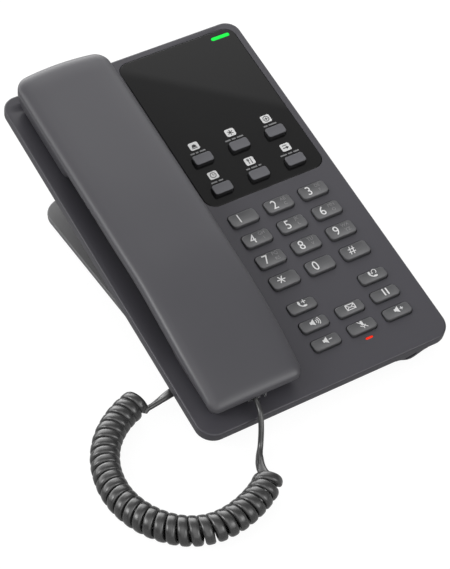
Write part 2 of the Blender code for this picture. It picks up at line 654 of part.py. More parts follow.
def make_hook_switch():
    """The plunger under the ear cup, with a flange that stops below the trough when it has risen."""
    top, flange = EAR_BOTTOM - 0.4, PLUNGER_FLANGE
    turned("hook_plunger", [(0.0, top), (PLUNGER_HEAD_R - 0.8, top), (PLUNGER_HEAD_R, top - 0.6),
                            (PLUNGER_HEAD_R, top - 1.6), (PLUNGER_R, top - 2.0), (PLUNGER_R, flange),
                            (PLUNGER_FLANGE_R, flange), (PLUNGER_FLANGE_R, flange - 1.2), (0.0, flange - 1.2)],
           "key_plastic", 16, (HANDSET_X, EAR_Y, 0))
    half_x, half_y = HOOK_SWITCH
    box_object("hook_switch", (HANDSET_X - half_x, HANDSET_X + half_x), (EAR_Y - half_y, EAR_Y + half_y),
               (pan_bottom(EAR_Y - half_y) + PAN_WALL + 0.5, flange - 1.6), "jack_plastic", bevel=GAP)


def make_screws():
    """Pan-head screws, driven up through the lower housing into the bosses of the top case."""
    for name, (x, y) in SCREWS.items():
        head = pan_bottom(y) + 0.4
        tip = head + SCREW_LENGTH
        turned(name, [(0.0, tip), (0.7, tip), (SHANK_R, tip - 1.0), (SHANK_R, head + 1.9), (HEAD_R, head + 1.9),
                      (HEAD_R, head + 0.5), (1.4, head), (0.0, head)], "steel", 8, (x, y, 0))


# ---------------------------------------------------------------- feet and stand

def make_front_foot():
    """A rubber strip cut to a wedge, so that it is flat on the desk."""
    bm = bmesh.new()
    verts = box(bm, (-FRONT_FOOT_X, FRONT_FOOT_X), (FOOT_Y - FRONT_FOOT_HALF, FOOT_Y + FRONT_FOOT_HALF),
                (0.0, 1.0))
    for vert in verts:
        y = vert.co.y
        vert.co.z = desk_height(y) if vert.co.z < 0.5 else pan_bottom(y) - GAP
    add_object("front_foot", bm, "foot_rubber")


def stand_desk_height(u):
    """Height of the desk above the stand's mid plane, in the stand's own frame, u along its arm."""
    slope, tilt_slope = math.radians(STAND_ANGLE), math.tan(math.radians(TILT))
    drop = desk_height(HINGE_Y) - HINGE_Z + u * (math.sin(slope) - tilt_slope * math.cos(slope))
    return drop / (math.cos(slope) + tilt_slope * math.sin(slope))


def make_stand():
    """U-shaped stand: two arms on hinge pins beside the housing and a plate across the rear."""
    hinge = new_empty("stand_hinge", tilt, (0, HINGE_Y, HINGE_Z), -STAND_ANGLE)
    half = STAND_HALF_THICKNESS
    stand = rounded_plate("stand_plate", STAND_X, (-1.0, STAND_LENGTH), (0.8, STAND_CORNER), (-half, half),
                          "base_plastic", parent=hinge)
    inner = STAND_X - STAND_ARM
    boolean(stand, rounded_plate("stand_opening", inner, (-20.0, STAND_PLATE_START), (1.0, 5.0), (-5.0, 5.0),
                                 parent=hinge))
    knuckles = bmesh.new()
    for side in (-1, 1):
        rod(knuckles, (0, 0), KNUCKLE_R, sorted((side * inner, side * (STAND_X - 0.05))), 16)
    boolean(stand, add_object("stand_knuckles", knuckles, parent=hinge), "UNION")
    holes = bmesh.new()
    for side in (-1, 1):
        rod(holes, (0, 0), PIN_R + 0.2, sorted((side * (inner - 2), side * (STAND_X + 2))), 16)
        slot = sorted((side * (STAND_SLOT_X - STAND_SLOT_HALF), side * (STAND_SLOT_X + STAND_SLOT_HALF)))
        box(holes, slot, STAND_SLOT, (-5.0, 5.0))
    boolean(stand, add_object("stand_holes", holes, parent=hinge))
    foot_x, foot_u, width, length = STAND_FOOT
    for name, side in (("stand_foot_left", -1), ("stand_foot_right", 1)):
        bm = bmesh.new()
        verts = box(bm, (-width / 2, width / 2), (foot_u - length / 2, foot_u + length / 2), (0.0, 1.0))
        for vert in verts:
            vert.co.z = stand_desk_height(vert.co.y) if vert.co.z < 0.5 else -half - GAP / 2
        add_object(name, bm, "foot_rubber", parent=hinge, location=(side * foot_x, 0, 0))
    for name, side in (("stand_pin_left", -1), ("stand_pin_right", 1)):
        bm = bmesh.new()
        rod(bm, (HINGE_Y, HINGE_Z), PIN_R, sorted((side * 55.4, side * (STAND_X - 0.6))), 12)
        add_object(name, bm, "steel")


# ---------------------------------------------------------------- handset

def shell_object(name, levels, material):
    """A closed shell from levels of (inset, height function), outer skin first and inner skin last."""
    bm = bmesh.new()
    skin(bm, [ring(bm, handset_outline(inset), height, HANDSET_X) for inset, height in levels])
    return add_object(name, bm, material)


def make_handset():
    wall = HANDSET_WALL

    def above(rise):
        return lambda x, y: handset_edge(y) + rise

    def parting(x, y):
        return handset_edge(y) - handset_skirt(y)

    def below(share, lift):
        def height(x, y):
            top = parting(x, y) - GAP
            return top + (handset_bottom(y) + lift - top) * share
        return height

    upper = [(13.0, above(0.9)), (7.0, above(0.55)), (3.4, above(0.05)), (1.5, above(-0.5)), (0.5, above(-1.5)),
             (0.0, above(-3.0)), (0.0, parting),
             (wall, parting), (wall, above(-3.2)), (3.6, above(-1.8)), (13.0, above(-1.1))]
    shell_object("handset_top_shell", upper, "handset_plastic")
    lower = [(14.0, below(1.0, 0.0)), (6.0, below(1.0, 0.0)), (4.2, below(0.96, 0.0)), (2.8, below(0.82, 0.0)),
             (1.6, below(0.45, 0.0)), (0.4, below(0.0, 0.0)),
             (0.4 + wall, below(0.0, 0.0)), (1.7 + wall, below(0.5, wall)), (3.4 + wall, below(0.9, wall)),
             (14.0, below(1.0, wall))]
    bottom_shell = shell_object("handset_bottom_shell", lower, "handset_plastic")
    boolean(bottom_shell, add_handset_openings())
    boolean(bottom_shell, box_object("plug_opening", (PLUG_X - 4.0, PLUG_X + 6.6), (-110.0, -92.0), (3.4, 8.6)))
    boolean(bottom_shell, box_object("jack_seat", (PLUG_X - 5.5, PLUG_X + 8.1), (-97.0, -90.0), (2.5, 9.0)))


def add_handset_openings():
    holes = bmesh.new()
    for i in range(7):
        radius = 0.0 if i == 0 else EAR_HOLE_RING
        angle = math.radians(60 * i)
        place = (HANDSET_X + radius * math.cos(angle), EAR_Y + radius * math.sin(angle))
        cylinder(holes, place, EAR_HOLE_R, (-6.0, 2.0), 8)
    cylinder(holes, (HANDSET_X, MOUTH_Y), EAR_HOLE_R, (-3.0, 4.0), 8)
    return add_object("handset_openings", holes)


def make_handset_parts():
    turned("receiver_capsule", [(0.0, 7.4), (9.0, 7.4), (12.5, 5.6), (12.5, 1.3), (0.0, 1.3)],
           "speaker_metal", 20, (HANDSET_X, EAR_Y, 0))
    turned("handset_microphone", [(0.0, 7.6), (4.6, 7.6), (4.6, 2.8), (0.0, 2.8)],
           "speaker_metal", 16, (HANDSET_X, MOUTH_Y, 0))
    jack = box_object("handset_jack", (PLUG_X - 5.2, PLUG_X + 7.8), (-96.6, -85.0), (2.8, 9.4), "jack_plastic")
    boolean(jack, box_object("handset_jack_cavity", (PLUG_X - 3.7, PLUG_X + 6.3), (-100.0, -86.5), (3.7, 8.3)))
    plug = box_object("handset_cord_plug", (PLUG_X - 3.3, PLUG_X + 3.3), (-100.2, -87.2), (4.0, 7.7),
                      "clear_plastic")
    latch = bmesh.new()
    box(latch, (PLUG_X + 4.6, PLUG_X + 5.8), (-101.0, -88.0), (4.4, 7.6))
    box(latch, (PLUG_X + 3.0, PLUG_X + 5.0), (-89.4, -88.0), (4.4, 7.6))
    boolean(plug, add_object("plug_latch", latch), "UNION", crossing=True)


# ---------------------------------------------------------------- cord

def to_world(point):
    """A point of the case frame, in millimetres, in the world frame."""
    offset = Vector((point[0], point[1] - FOOT_Y, point[2] + FOOT_DROP))
    angle = math.radians(TILT)
    return Vector((offset.x, offset.y * math.cos(angle) - offset.z * math.sin(angle),
                   offset.y * math.sin(angle) + offset.z * math.cos(angle)))


def bezier(a, b, c, d, t):
    s = 1 - t
    return a * s ** 3 + b * 3 * s * s * t + c * 3 * s * t * t + d * t ** 3


def spline(points, steps):
    """A smooth line through the points (Catmull-Rom), steps to a span."""
    line = []
    for i in range(len(points) - 1):
        before, start = points[max(i - 1, 0)], points[i]
        end, after = points[i + 1], points[min(i + 2, len(points) - 1)]
        for step in range(steps):
            line.append(bezier(start, start + (end - before) / 6, end - (after - start) / 6, end, step / steps))
    return line + [points[-1]]


# The coil's centre line on the desk: three quarter bends (start, two handles, end)
COIL_BENDS = (((-82.6, 18.5), (-104.1, 12.4), (-114.2, -5.1), (-114.2, -23.1)),
              ((-114.2, -23.1), (-114.2, -39.5), (-101.9, -61.0), (-81.1, -61.0)),
              ((-81.1, -61.0), (-69.3, -61.0), (-56.2, -54.3), (-52.9, -50.2)))

# The lead from the coil to the handset: along the desk, then up to the plug
HANDSET_LEAD = ((-50.4, -46.7, 4.6), (-50.2, -40.5, 3.6), (-47.4, -34.0, 3.4),
                (-44.2, -29.6, 5.6), (-41.6, -25.6, 12.0), (-39.6, -21.0, 17.0))


def coil_points():
    """A helix of COIL_TURNS turns around the bends, evenly spaced by arc length."""
    centres = []
    for bend in COIL_BENDS:
        a, b, c, d = (Vector((x, y, COIL_HEIGHT)) for x, y in bend)
        centres += [bezier(a, b, c, d, i / 60) for i in range(60)]
    centres.append(Vector((*COIL_BENDS[-1][-1], COIL_HEIGHT)))
    lengths = [0.0]
    for first, second in zip(centres, centres[1:]):
        lengths.append(lengths[-1] + (second - first).length)
    points = []
    total = COIL_TURNS * COIL_STEPS + COIL_STEPS // 2
    place = 0
    for i in range(total + 1):
        distance = lengths[-1] * i / total
        while place < len(centres) - 2 and lengths[place + 1] < distance:
            place += 1
        along = (distance - lengths[place]) / (lengths[place + 1] - lengths[place])
        centre = centres[place].lerp(centres[place + 1], along)
        forward = (centres[place + 1] - centres[place]).normalized()
        sideways = Vector((-forward.y, forward.x, 0))
        angle = 2 * math.pi * i / COIL_STEPS
        points.append(centre + COIL_R * (math.cos(angle) * sideways + math.sin(angle) * Vector((0, 0, 1))))
    return points


def make_cord():
    coil = coil_points()
    base_end = to_world((-62.4, LINE_JACK_Y, LINE_JACK_Z))
    base_lead = spline([base_end, to_world((-68, LINE_JACK_Y - 0.5, LINE_JACK_Z + 0.2)),
                        Vector((-76, 12.0, 8.2)), coil[0]], 5)
    handset_end = to_world((PLUG_X, -100.8, PLUG_Z))
    handset_lead = spline([coil[-1], *(Vector(place) for place in HANDSET_LEAD), handset_end], 5)
    points = base_lead[:-1] + coil + handset_lead[1:]
    curve = bpy.data.curves.new("handset_cord", "CURVE")
    curve.dimensions = "3D"
    curve.bevel_depth = WIRE_R * MM
    curve.bevel_resolution = 1
    curve.use_fill_caps = True
    line = curve.splines.new("POLY")
    line.points.add(len(points) - 1)
    for target, point in zip(line.points, points):
        target.co = (*(point * MM), 1.0)
    curve.materials.append(get_material("cord_rubber"))
    cord = bpy.data.objects.new("handset_cord", curve)
    parts.objects.link(cord)


# ---------------------------------------------------------------- assembly

clear_scene()
parts = new_collection(NAME)
cutters = new_collection(NAME + "_cutters")
tilt = new_empty("case_tilt", None, to_world((0, 0, 0)), TILT)

make_top_case()
make_bottom_case()
make_panel_and_lights()
make_keys()
make_mats()
make_board()
make_jacks()
make_sound_parts()
make_hook_switch()
make_screws()
make_front_foot()
make_stand()
make_handset()
make_handset_parts()
make_cord()
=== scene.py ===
"""Looks of the desk IP phone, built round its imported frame.

Shapes are drawn in the case frame, in millimetres: X right, Y to the rear, Z out of the case top, with the
origin in the middle of the top. The matrix CASE takes them to the world. Places and outer sizes are read
from the frame's nodes; the constants are the details that the frame doesn't hold.
"""

import json
import math

import bmesh
import bpy
from mathutils import Matrix, Vector


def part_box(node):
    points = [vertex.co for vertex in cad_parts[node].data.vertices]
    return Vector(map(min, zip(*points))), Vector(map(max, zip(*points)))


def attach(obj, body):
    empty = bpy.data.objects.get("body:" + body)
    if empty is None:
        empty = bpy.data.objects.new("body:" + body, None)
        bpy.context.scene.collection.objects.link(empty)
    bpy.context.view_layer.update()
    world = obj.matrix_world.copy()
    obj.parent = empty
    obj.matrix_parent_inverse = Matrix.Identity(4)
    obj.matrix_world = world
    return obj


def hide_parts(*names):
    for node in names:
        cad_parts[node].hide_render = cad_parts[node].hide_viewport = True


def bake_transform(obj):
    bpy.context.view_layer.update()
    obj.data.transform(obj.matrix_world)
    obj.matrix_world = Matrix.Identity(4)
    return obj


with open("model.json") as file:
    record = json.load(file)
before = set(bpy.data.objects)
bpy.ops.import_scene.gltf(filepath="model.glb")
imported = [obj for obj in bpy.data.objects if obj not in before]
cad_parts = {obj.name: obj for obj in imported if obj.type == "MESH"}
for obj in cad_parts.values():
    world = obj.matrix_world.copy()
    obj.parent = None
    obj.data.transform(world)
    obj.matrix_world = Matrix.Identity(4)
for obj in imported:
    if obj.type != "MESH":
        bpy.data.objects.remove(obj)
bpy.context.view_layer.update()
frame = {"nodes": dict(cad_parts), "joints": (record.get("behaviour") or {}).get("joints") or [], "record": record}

MM = 0.001
Z_AXIS = Vector((0, 0, 1))

# Case; the trough's right and rear sides are steep from TROUGH_STEEP on
CASE_EDGE, CASE_FOOT_EDGE = 0.95, 0.5
CASE_RIM, CASE_TOP, CASE_WALL = 5.3, 3.0, 2.2
CASE_CORNERS = (9.0, 8.0)
TROUGH_X, TROUGH_Y, TROUGH_STEEP = (-65.0, -13.3), (-98.0, 102.5), (-18.0, 97.5)
TROUGH_DEPTH, TROUGH_WALL = 6.5, 1.6
CRADLE_RIBS, CRADLE_RIB_X = ((60.0, -1.5), (90.0, -1.5), (-90.0, 0.3), (-70.0, 0.3)), (-46.0, -28.0)
GRILLE_X, GRILLE_Y = (-54.8, -49.0, -43.2), (-35.5, -29.9, -24.3, -18.7, -13.1, -7.5)
GRILLE_HOLE_R, PLUNGER_HOLE_R = 0.8, 2.9
LOBE_X, LOBE_REACH, LOBE_DROP, LOBE_BACK = 45.0, 9.0, 4.3, -101.0
PORT_Z, PORT_HALF, PORT_R, PORT_SLANT = -6.9, 2.3, 0.85, 14.0

# Panel, lights and keys
PANEL_CORNER, PANEL_THICKNESS, PANEL_GAP = 6.0, 1.4, 0.3
MUTE_LENS_SHARE = 0.72
KEY_CLEARANCE = 0.35
DIAL_KEYS = {"key_1": "1", "key_2": "2 ABC", "key_3": "3 DEF", "key_4": "4 GHI", "key_5": "5 JKL",
             "key_6": "6 MNO", "key_7": "7 PQRS", "key_8": "8 TUV", "key_9": "9 WXYZ", "key_star": "*",
             "key_0": "0", "key_hash": "#"}
FUNCTION_KEYS = ("transfer_key", "redial_key", "speaker_key", "message_key", "hold_key",
                 "volume_down_key", "mute_key", "volume_up_key")
SERVICE_KEYS = tuple(f"service_key_{i}" for i in range(1, 7))
KEYS = tuple(DIAL_KEYS) + FUNCTION_KEYS + SERVICE_KEYS
KEY_CORNERS = {"dial": 2.0, "function": 1.8, "service": 1.3}
KEY_REAR = {"dial": 0.7, "function": 0.7, "service": 2.4}
KEY_EDGE = {"dial": 0.42, "function": 0.4, "service": 0.3}
KEY_DISH = {"dial": 0.45, "function": 0.35, "service": 0.1}
KEY_ARC, KEY_SIDE = 8, 10

# Prints
PRINT_THICKNESS = 0.05
SYMBOL_PLACE, STAR_PLACE, HASH_PLACE = (0.8, 0.75), (-1.4, 0.85), (-1.35, 0.8)
DIGIT_PLACE, DIGIT_HEIGHT, DIGIT_WIDTH = (-2.25, 0.55), 5.6, 0.86
HASH_HEIGHT, HASH_WIDTH = 4.9, 0.95
LETTER_X, LETTER_ROWS, LETTER_HEIGHT, LETTER_WIDTH = 3.4, (2.15, -0.95), 2.0, 0.9
TILE_HALF, TILE_OFFSET, LABEL_OFFSET, LABEL_HALF, WORD_GAP = (2.6, 2.35), (0.25, 9.8), 5.6, 0.42, 0.7
LABEL_WORDS = ((2.4, 1.5, 3.2), (3.0, 2.2, 3.6), (2.2, 4.4), (3.4, 2.6), (2.2, 3.4, 1.6), (3.6, 2.4, 3.2))

# Handset: corners at the mouth end and the rear, crown, edge, arch down to the mouth end, and underside
HANDSET_CORNERS, HANDSET_BOW, WAIST, MOUTH_TAPER = (5.0, 7.0), 2.5, 0.3, 0.9
CROWN, CROWN_REACH, EDGE_REACH, EDGE_DROP, EDGE_POWER = 0.9, 13.0, 6.0, 3.0, 2.4
REAR_FALL, DROOP_START, DROOP = 1.5, -20.0, 9.6
SKIRT, SKIRT_FRONT = 5.6, 3.6
EAR_BOTTOM, GRIP_BOTTOM, GRIP_ARCH, MOUTH_BOTTOM = -1.2, 8.0, 0.8, 0.6
EAR_Y, MOUTH_Y, SOUND_HOLE_R, SOUND_RING_R = 75.0, -80.0, 0.9, 6.0
SHELL_WALL, SHELL_GAP = 1.8, 0.3
FRONT_SHARES, REAR_SHARES = (0.2, 0.5, 0.8), (0.85, 0.65, 0.45, 0.25, 0.08)
FRONT_ARC, REAR_ARC = 8, 10

# Stand, in its hinge's frame: the arms and the opening between them run along Y from the hinge
STAND_ANGLE, STAND_LENGTH, STAND_OPENING = 17.2, 120.0, 60.0
STAND_CORNER, STAND_ARM, STAND_HALF, STAND_EDGE = 14.0, 4.4, 1.4, 0.6
STAND_SLOT_X, STAND_SLOT = 50.0, (69.0, 84.0)
KNUCKLE_R, HINGE_HOLE_R = 3.2, 1.7

# Cord, in world millimetres: the outside of the coil rests on the desk
COIL_OUTSIDE, COIL_R, COIL_TURNS, COIL_STEPS = 7.0, 5.55, 29, 24
RIBBON_WIDTH, RIBBON_THICKNESS = 4.6, 2.6
HANDSET_LEAD = ((-50.4, -46.7, 4.6), (-50.2, -40.5, 3.6), (-47.4, -34.0, 3.4),
                (-44.2, -29.6, 5.6), (-41.6, -25.6, 12.0), (-39.6, -21.0, 17.0))

# Studio: each light has its azimuth from the rear to the right, elevation, strength and focus
SKY_LIGHTS = ((0, 8, 2.4, 8), (24, 30, 2.8, 10), (150, 24, 3.0, 20), (216, 58, 1.2, 8), (-78, 36, 5.5, 34),
              (-45, 12, 1.6, 14), (195, 12, 1.0, 10), (0, 90, 0.12, 0))
FLAG_EDGE, FLAG_PLACE, FLAG_FOCUS, FLAG_SHADE = (0.49, 0.71, -0.51), (0.366, 0.356, 0.86), 12.0, 0.40
FLOOR_BOUNCE, FLOOR_GLOW, FLOOR_PAPER = 0.22, 0.93, 0.12
WHITE = (1.0, 1.0, 1.0, 1.0)


# Frame

def span_of(vectors):
    points = list(vectors)
    return (Vector([min(p[i] for p in points) for i in range(3)]),
            Vector([max(p[i] for p in points) for i in range(3)]))


def joint_of(name):
    return next(joint for joint in frame["joints"] if joint["name"] == name)


def case_matrix():
    """The case frame, from the direction the handset lifts in and the outside of the top case."""
    normal = Vector(joint_of("handset_lift")["axis"])
    turn = Matrix.Rotation(math.atan2(-normal.y, normal.z), 4, "X")
    back = turn.inverted()
    low, high = span_of(back @ vertex.co for vertex in frame["nodes"]["top_case"].data.vertices)
    origin = Vector(((low.x + high.x) / 2, (low.y + high.y) / 2, high.z))
    return turn @ Matrix.Translation(origin) @ Matrix.Scale(MM, 4)


CASE = case_matrix()
TO_CASE = CASE.inverted()


def span(node):
    """Lowest and highest corner of a node in the case frame, in millimetres."""
    return span_of(TO_CASE @ vertex.co for vertex in frame["nodes"][node].data.vertices)


def flat_place(node):
    """Centre and half size of a node in the plane of the case top."""
    low, high = span(node)
    return ((low.x + high.x) / 2, (low.y + high.y) / 2), ((high.x - low.x) / 2, (high.y - low.y) / 2)


def body_of(node):
    return next(body for body, nodes in frame["record"]["behaviour"]["bodies"].items() if node in nodes)


# Materials

def fill(tree, node, *values, **named):
    """Sets or links a node's inputs, given in order or by name, with _ for a space."""
    for key, value in (*enumerate(values), *named.items()):
        socket = node.inputs[key.replace("_", " ") if key in named else key]
        if isinstance(value, bpy.types.NodeSocket):
            tree.links.new(value, socket)
        else:
            socket.default_value = value
    return node


def add_node(tree, kind, *values, **named):
    return fill(tree, tree.nodes.new("ShaderNode" + kind), *values, **named)


def shade(material, **inputs):
    """Sets or links inputs of a material's main shader."""
    fill(material.node_tree, material.node_tree.nodes["Principled BSDF"], **inputs)


def new_material(name, color, roughness, **inputs):
    material = bpy.data.materials.new(name)
    material.use_nodes = True
    shade(material, Base_Color=(*color, 1.0), Roughness=roughness, **inputs)
    return material


def noise(material, size, detail=2.0, stretch=None):
    """A noise texture in the piece's own space; size is the spacing of its spots in millimetres."""
    tree = material.node_tree
    source = add_node(tree, "TexCoord").outputs["Object"]
    if stretch:
        source = add_node(tree, "Mapping", Vector=source, Scale=stretch).outputs["Vector"]
    return add_node(tree, "TexNoise", Vector=source, Scale=1.0 / (size * MM), Detail=detail).outputs["Fac"]


def spread(material, source, low, high):
    """Maps a noise's middle range to low..high."""
    node = add_node(material.node_tree, "MapRange", Value=source, From_Min=0.1, From_Max=0.9,
                    To_Min=low, To_Max=high)
    return node.outputs["Result"]


def add_grain(material, size, depth, strength=0.5):
    """A fine moulded or spark-eroded grain, depth in millimetres."""
    tree = material.node_tree
    bump = add_node(tree, "Bump", Height=noise(material, size, 3.0), Strength=strength, Distance=depth * MM)
    shade(material, Normal=bump.outputs["Normal"])


def add_cloud(material, size, share, rough=0.0):
    """A faint cloudiness: the colour varies by share and the roughness by rough."""
    tree = material.node_tree
    shader = tree.nodes["Principled BSDF"]
    cloud = noise(material, size)
    tint = tree.nodes.new("ShaderNodeMix")
    tint.data_type, tint.blend_type = "RGBA", "MULTIPLY"
    fill(tree, tint, Factor=1.0, A=shader.inputs["Base Color"].default_value,
         B=spread(material, cloud, 1.0 - share, 1.0 + share))
    shade(material, Base_Color=tint.outputs["Result"])
    if rough:
        level = shader.inputs["Roughness"].default_value
        shade(material, Roughness=spread(material, cloud, level - rough, level + rough))


def moulded(name, color, roughness, grain, depth, cloud=0.02, **inputs):
    """Moulded plastic with a fine grain, slightly uneven in colour and shine."""
    material = new_material(name, color, roughness, **inputs)
    add_cloud(material, 30.0, cloud, 0.01)
    add_grain(material, grain, depth)
    return material


def lamp(name, color):
    """A lit light guide, its glow slightly uneven from the grain of the diffuser."""
    material = new_material(name, [0.05 * level for level in color], 0.4, Specular_IOR_Level=0.2,
                            Emission_Color=(*color, 1.0), Emission_Strength=1.0)
    shade(material, Emission_Strength=spread(material, noise(material, 0.8), 0.92, 1.08))
    return material


def brushed(name, color, roughness):
    """Plated or brushed metal: fine streaks along X."""
    material = new_material(name, color, roughness, Metallic=1.0)
    streak = noise(material, 0.25, 2.0, (0.06, 1.0, 1.0))
    shade(material, Roughness=spread(material, streak, roughness - 0.08, roughness + 0.1))
    add_cloud(material, 3.0, 0.05)
    return material


def polished_panel(name):
    """Black acrylic: a clear gloss over black, with only a trace of waviness."""
    material = new_material(name, (0.007, 0.007, 0.0072), 0.02, Specular_IOR_Level=0.47)
    add_cloud(material, 14.0, 0.05, 0.005)
    add_grain(material, 8.0, 0.002, 0.2)
    return material


# Colour, roughness, spacing and depth of the grain in millimetres and, where it is not slight, cloudiness
MOULDED = {
    "case_plastic": ((0.0605, 0.0585, 0.068), 0.33, 0.45, 0.008),
    "handset_plastic": ((0.081, 0.0795, 0.088), 0.28, 0.30, 0.005),
    "base_plastic": ((0.050, 0.050, 0.053), 0.52, 0.60, 0.020),
    # The stand's plastic is the base plastic painted much lighter: painted light for the light that falls on the
    # stand
    "stand_painted_light_plastic": ((0.135, 0.135, 0.138), 0.40, 0.60, 0.015),
    "key_plastic": ((0.075, 0.075, 0.079), 0.42, 0.28, 0.006),
    "service_key_plastic": ((0.105, 0.105, 0.115), 0.45, 0.28, 0.006),
    # Near-black plastic for the sides of the service keys: painted shade on the walls below their lit tops
    "key_side": ((0.016, 0.016, 0.017), 0.5, 0.28, 0.006),
    "silicone": ((0.22, 0.22, 0.23), 0.65, 0.5, 0.010),
    "circuit_board": ((0.015, 0.12, 0.045), 0.38, 1.2, 0.020, 0.12),
    "jack_plastic": ((0.022, 0.022, 0.024), 0.45, 0.4, 0.012),
    "foot_rubber": ((0.022, 0.022, 0.022), 0.85, 0.5, 0.030),
    "print_white": ((0.66, 0.66, 0.66), 0.5, 0.2, 0.004, 0.06),
    "print_grey": ((0.20, 0.20, 0.205), 0.5, 0.2, 0.004, 0.06),
    "print_black": ((0.020, 0.020, 0.021), 0.45, 0.2, 0.004, 0.06),
}
MATERIALS = {name: moulded(name, *look) for name, look in MOULDED.items()}
MATERIALS.update({
    "clear_plastic": moulded("clear_plastic", (0.30, 0.30, 0.31), 0.18, 0.8, 0.004, Transmission_Weight=0.55),
    "cord_rubber": moulded("cord_rubber", (0.040, 0.040, 0.040), 0.24, 1.6, 0.20, Coat_Weight=1.0,
                           Coat_Roughness=0.14),
    "panel_gloss": polished_panel("panel_gloss"),
    "green_light": lamp("green_light", (0.004, 0.95, 0.075)),
    "red_light": lamp("red_light", (1.0, 0.028, 0.006)),
    "speaker_metal": brushed("speaker_metal", (0.40, 0.40, 0.42), 0.34),
    "steel": brushed("steel", (0.55, 0.55, 0.57), 0.28),
})


# Shapes

def ramp(value, start, end):
    """0 at start, 1 at end, smooth in between."""
    t = min(max((value - start) / (end - start), 0.0), 1.0)
    return t * t * (3 - 2 * t)


def steps(start, end, count):
    return [start + (end - start) * i / count for i in range(count + 1)]


def around(centre, radius, start, end, count):
    """Points of an arc, its angles in degrees."""
    turns = [math.radians(angle) for angle in steps(start, end, count)]
    return [(centre[0] + radius * math.cos(turn), centre[1] + radius * math.sin(turn)) for turn in turns]


def rounded(centre, half, radii, inset=0.0, arc=10, side=0):
    """A rounded rectangle drawn in by inset, as (x, y) points from the middle of its right side on.

    radii is (front, rear) or one radius; side is an even number of extra points on each straight side.
    """
    front, rear = radii if isinstance(radii, tuple) else (radii, radii)
    if inset:
        front, rear = max(front - inset, 0.2), max(rear - inset, 0.2)
    half_x, half_y = half[0] - inset, half[1] - inset
    arcs = []
    corners = ((1, 1, rear), (-1, 1, rear), (-1, -1, front), (1, -1, front))
    for corner, (side_x, side_y, radius) in enumerate(corners):
        middle = Vector((centre[0] + side_x * (half_x - radius), centre[1] + side_y * (half_y - radius)))
        arcs.append([middle + radius * Vector((math.cos(turn), math.sin(turn)))
                     for turn in steps(math.radians(90 * corner), math.radians(90 * corner + 90), arc)])
    points = []
    for curve, following in zip(arcs, arcs[1:] + arcs[:1]):
        points += curve + [curve[-1].lerp(following[0], i / (side + 1)) for i in range(1, side + 1)]
    start = len(points) - side // 2
    return [(point.x, point.y) for point in points[start:] + points[:start]]


def add_line(bm, points):
    return [bm.verts.new(point) for point in points]


def skin(bm, outlines, ends=(True, True)):
    """Skins closed outlines of equal length in order; ends says which get a face. Returns their vertices."""
    loops = [add_line(bm, outline) for outline in outlines]
    count = len(loops[0])
    for low, high in zip(loops, loops[1:]):
        for i in range(count):
            j = (i + 1) % count
            bm.faces.new((low[i], low[j], high[j], high[i]))
    for loop, wanted in zip((loops[0], loops[-1]), ends):
        if wanted:
            bm.faces.new(loop)
    return loops


def ladder(bm, loop, first, last):
    """Closes a symmetric loop with quads across it, and a face over the first and last points of its half."""
    count = len(loop)
    bm.faces.new(loop[-first:] + loop[:first])
    for i in range(first - 1, count // 2 - last):
        bm.faces.new((loop[i], loop[i + 1], loop[count - 2 - i], loop[count - 1 - i]))
    bm.faces.new(loop[count // 2 - last:count // 2 + last])


def rounding(radius, top, count=6):
    """(inset, height) pairs of a quarter round, from the top plane down to the side."""
    return [(radius * (1 - math.sin(turn)), top - radius * (1 - math.cos(turn)))
            for turn in steps(0, math.radians(90), count)]


def plate(bm, centre, half, radii, levels, arc=10):
    """A plate with rounded corners from (inset, height) levels."""
    skin(bm, [[(x, y, z) for x, y in rounded(centre, half, radii, inset, arc)] for inset, z in levels])


def pocket(bm, place, gap, corner, floor, flare, arc=8):
    """A cutter for an opening with a gap round a (centre, half size); its upper edge is rounded by flare."""
    centre, half = place
    turns = steps(0, math.radians(90), 4) if flare else [math.radians(90)]
    levels = [(0.0, floor)]
    levels += [(-flare * (1 - math.cos(turn)), -flare * (1 - math.sin(turn))) for turn in turns]
    plate(bm, centre, (half[0] + gap, half[1] + gap), corner, levels + [(-flare, 2.0)], arc)


def cylinder(bm, centre, radius, low, high, sides=32, top_radius=None):
    made = bmesh.ops.create_cone(bm, cap_ends=True, segments=sides, radius1=radius,
                                 radius2=radius if top_radius is None else top_radius, depth=high - low)
    bmesh.ops.translate(bm, verts=made["verts"], vec=(centre[0], centre[1], (low + high) / 2))
    return made["verts"]


def sweep(bm, stations, section):
    """A closed bar along stations of (centre, width vector, thickness vector); section is (u, v) points."""
    skin(bm, [[centre + wide * u + thick * v for u, v in section] for centre, wide, thick in stations])


def stadium(width, thickness, arc=5):
    """Section of a flat cord: straight flanks and round edges, slightly full across the flanks."""
    radius = thickness / 2 * 0.96
    points = []
    for side in (1, -1):
        centre = side * (width / 2 - radius)
        for angle in steps(math.radians(-80), math.radians(80), arc):
            points.append((centre + side * radius * math.cos(angle), side * radius * math.sin(angle)))
        points.append((side * width * 0.12, side * thickness / 2))
        points.append((-side * width * 0.12, side * thickness / 2))
    return points


def bezier(a, b, c, d, t):
    s = 1 - t
    return a * s ** 3 + b * 3 * s * s * t + c * 3 * s * t * t + d * t ** 3


def spline(points, count):
    """A smooth line through the points (Catmull-Rom), count steps to a span."""
    line = []
    for i in range(len(points) - 1):
        before, start = points[max(i - 1, 0)], points[i]
        end, after = points[i + 1], points[min(i + 2, len(points) - 1)]
        line += [bezier(start, start + (end - before) / 6, end - (after - start) / 6, end, t)
                 for t in steps(0, 1, count)[:-1]]
    return line + [points[-1]]


def make_object(name, bm, matrix=Matrix.Identity(4)):
    bm.normal_update()
    bmesh.ops.recalc_face_normals(bm, faces=bm.faces)
    mesh = bpy.data.meshes.new(name)
    bm.to_mesh(mesh)
    bm.free()
    mesh.transform(matrix)
    piece = bpy.data.objects.new(name, mesh)
    bpy.context.scene.collection.objects.link(piece)
    return piece


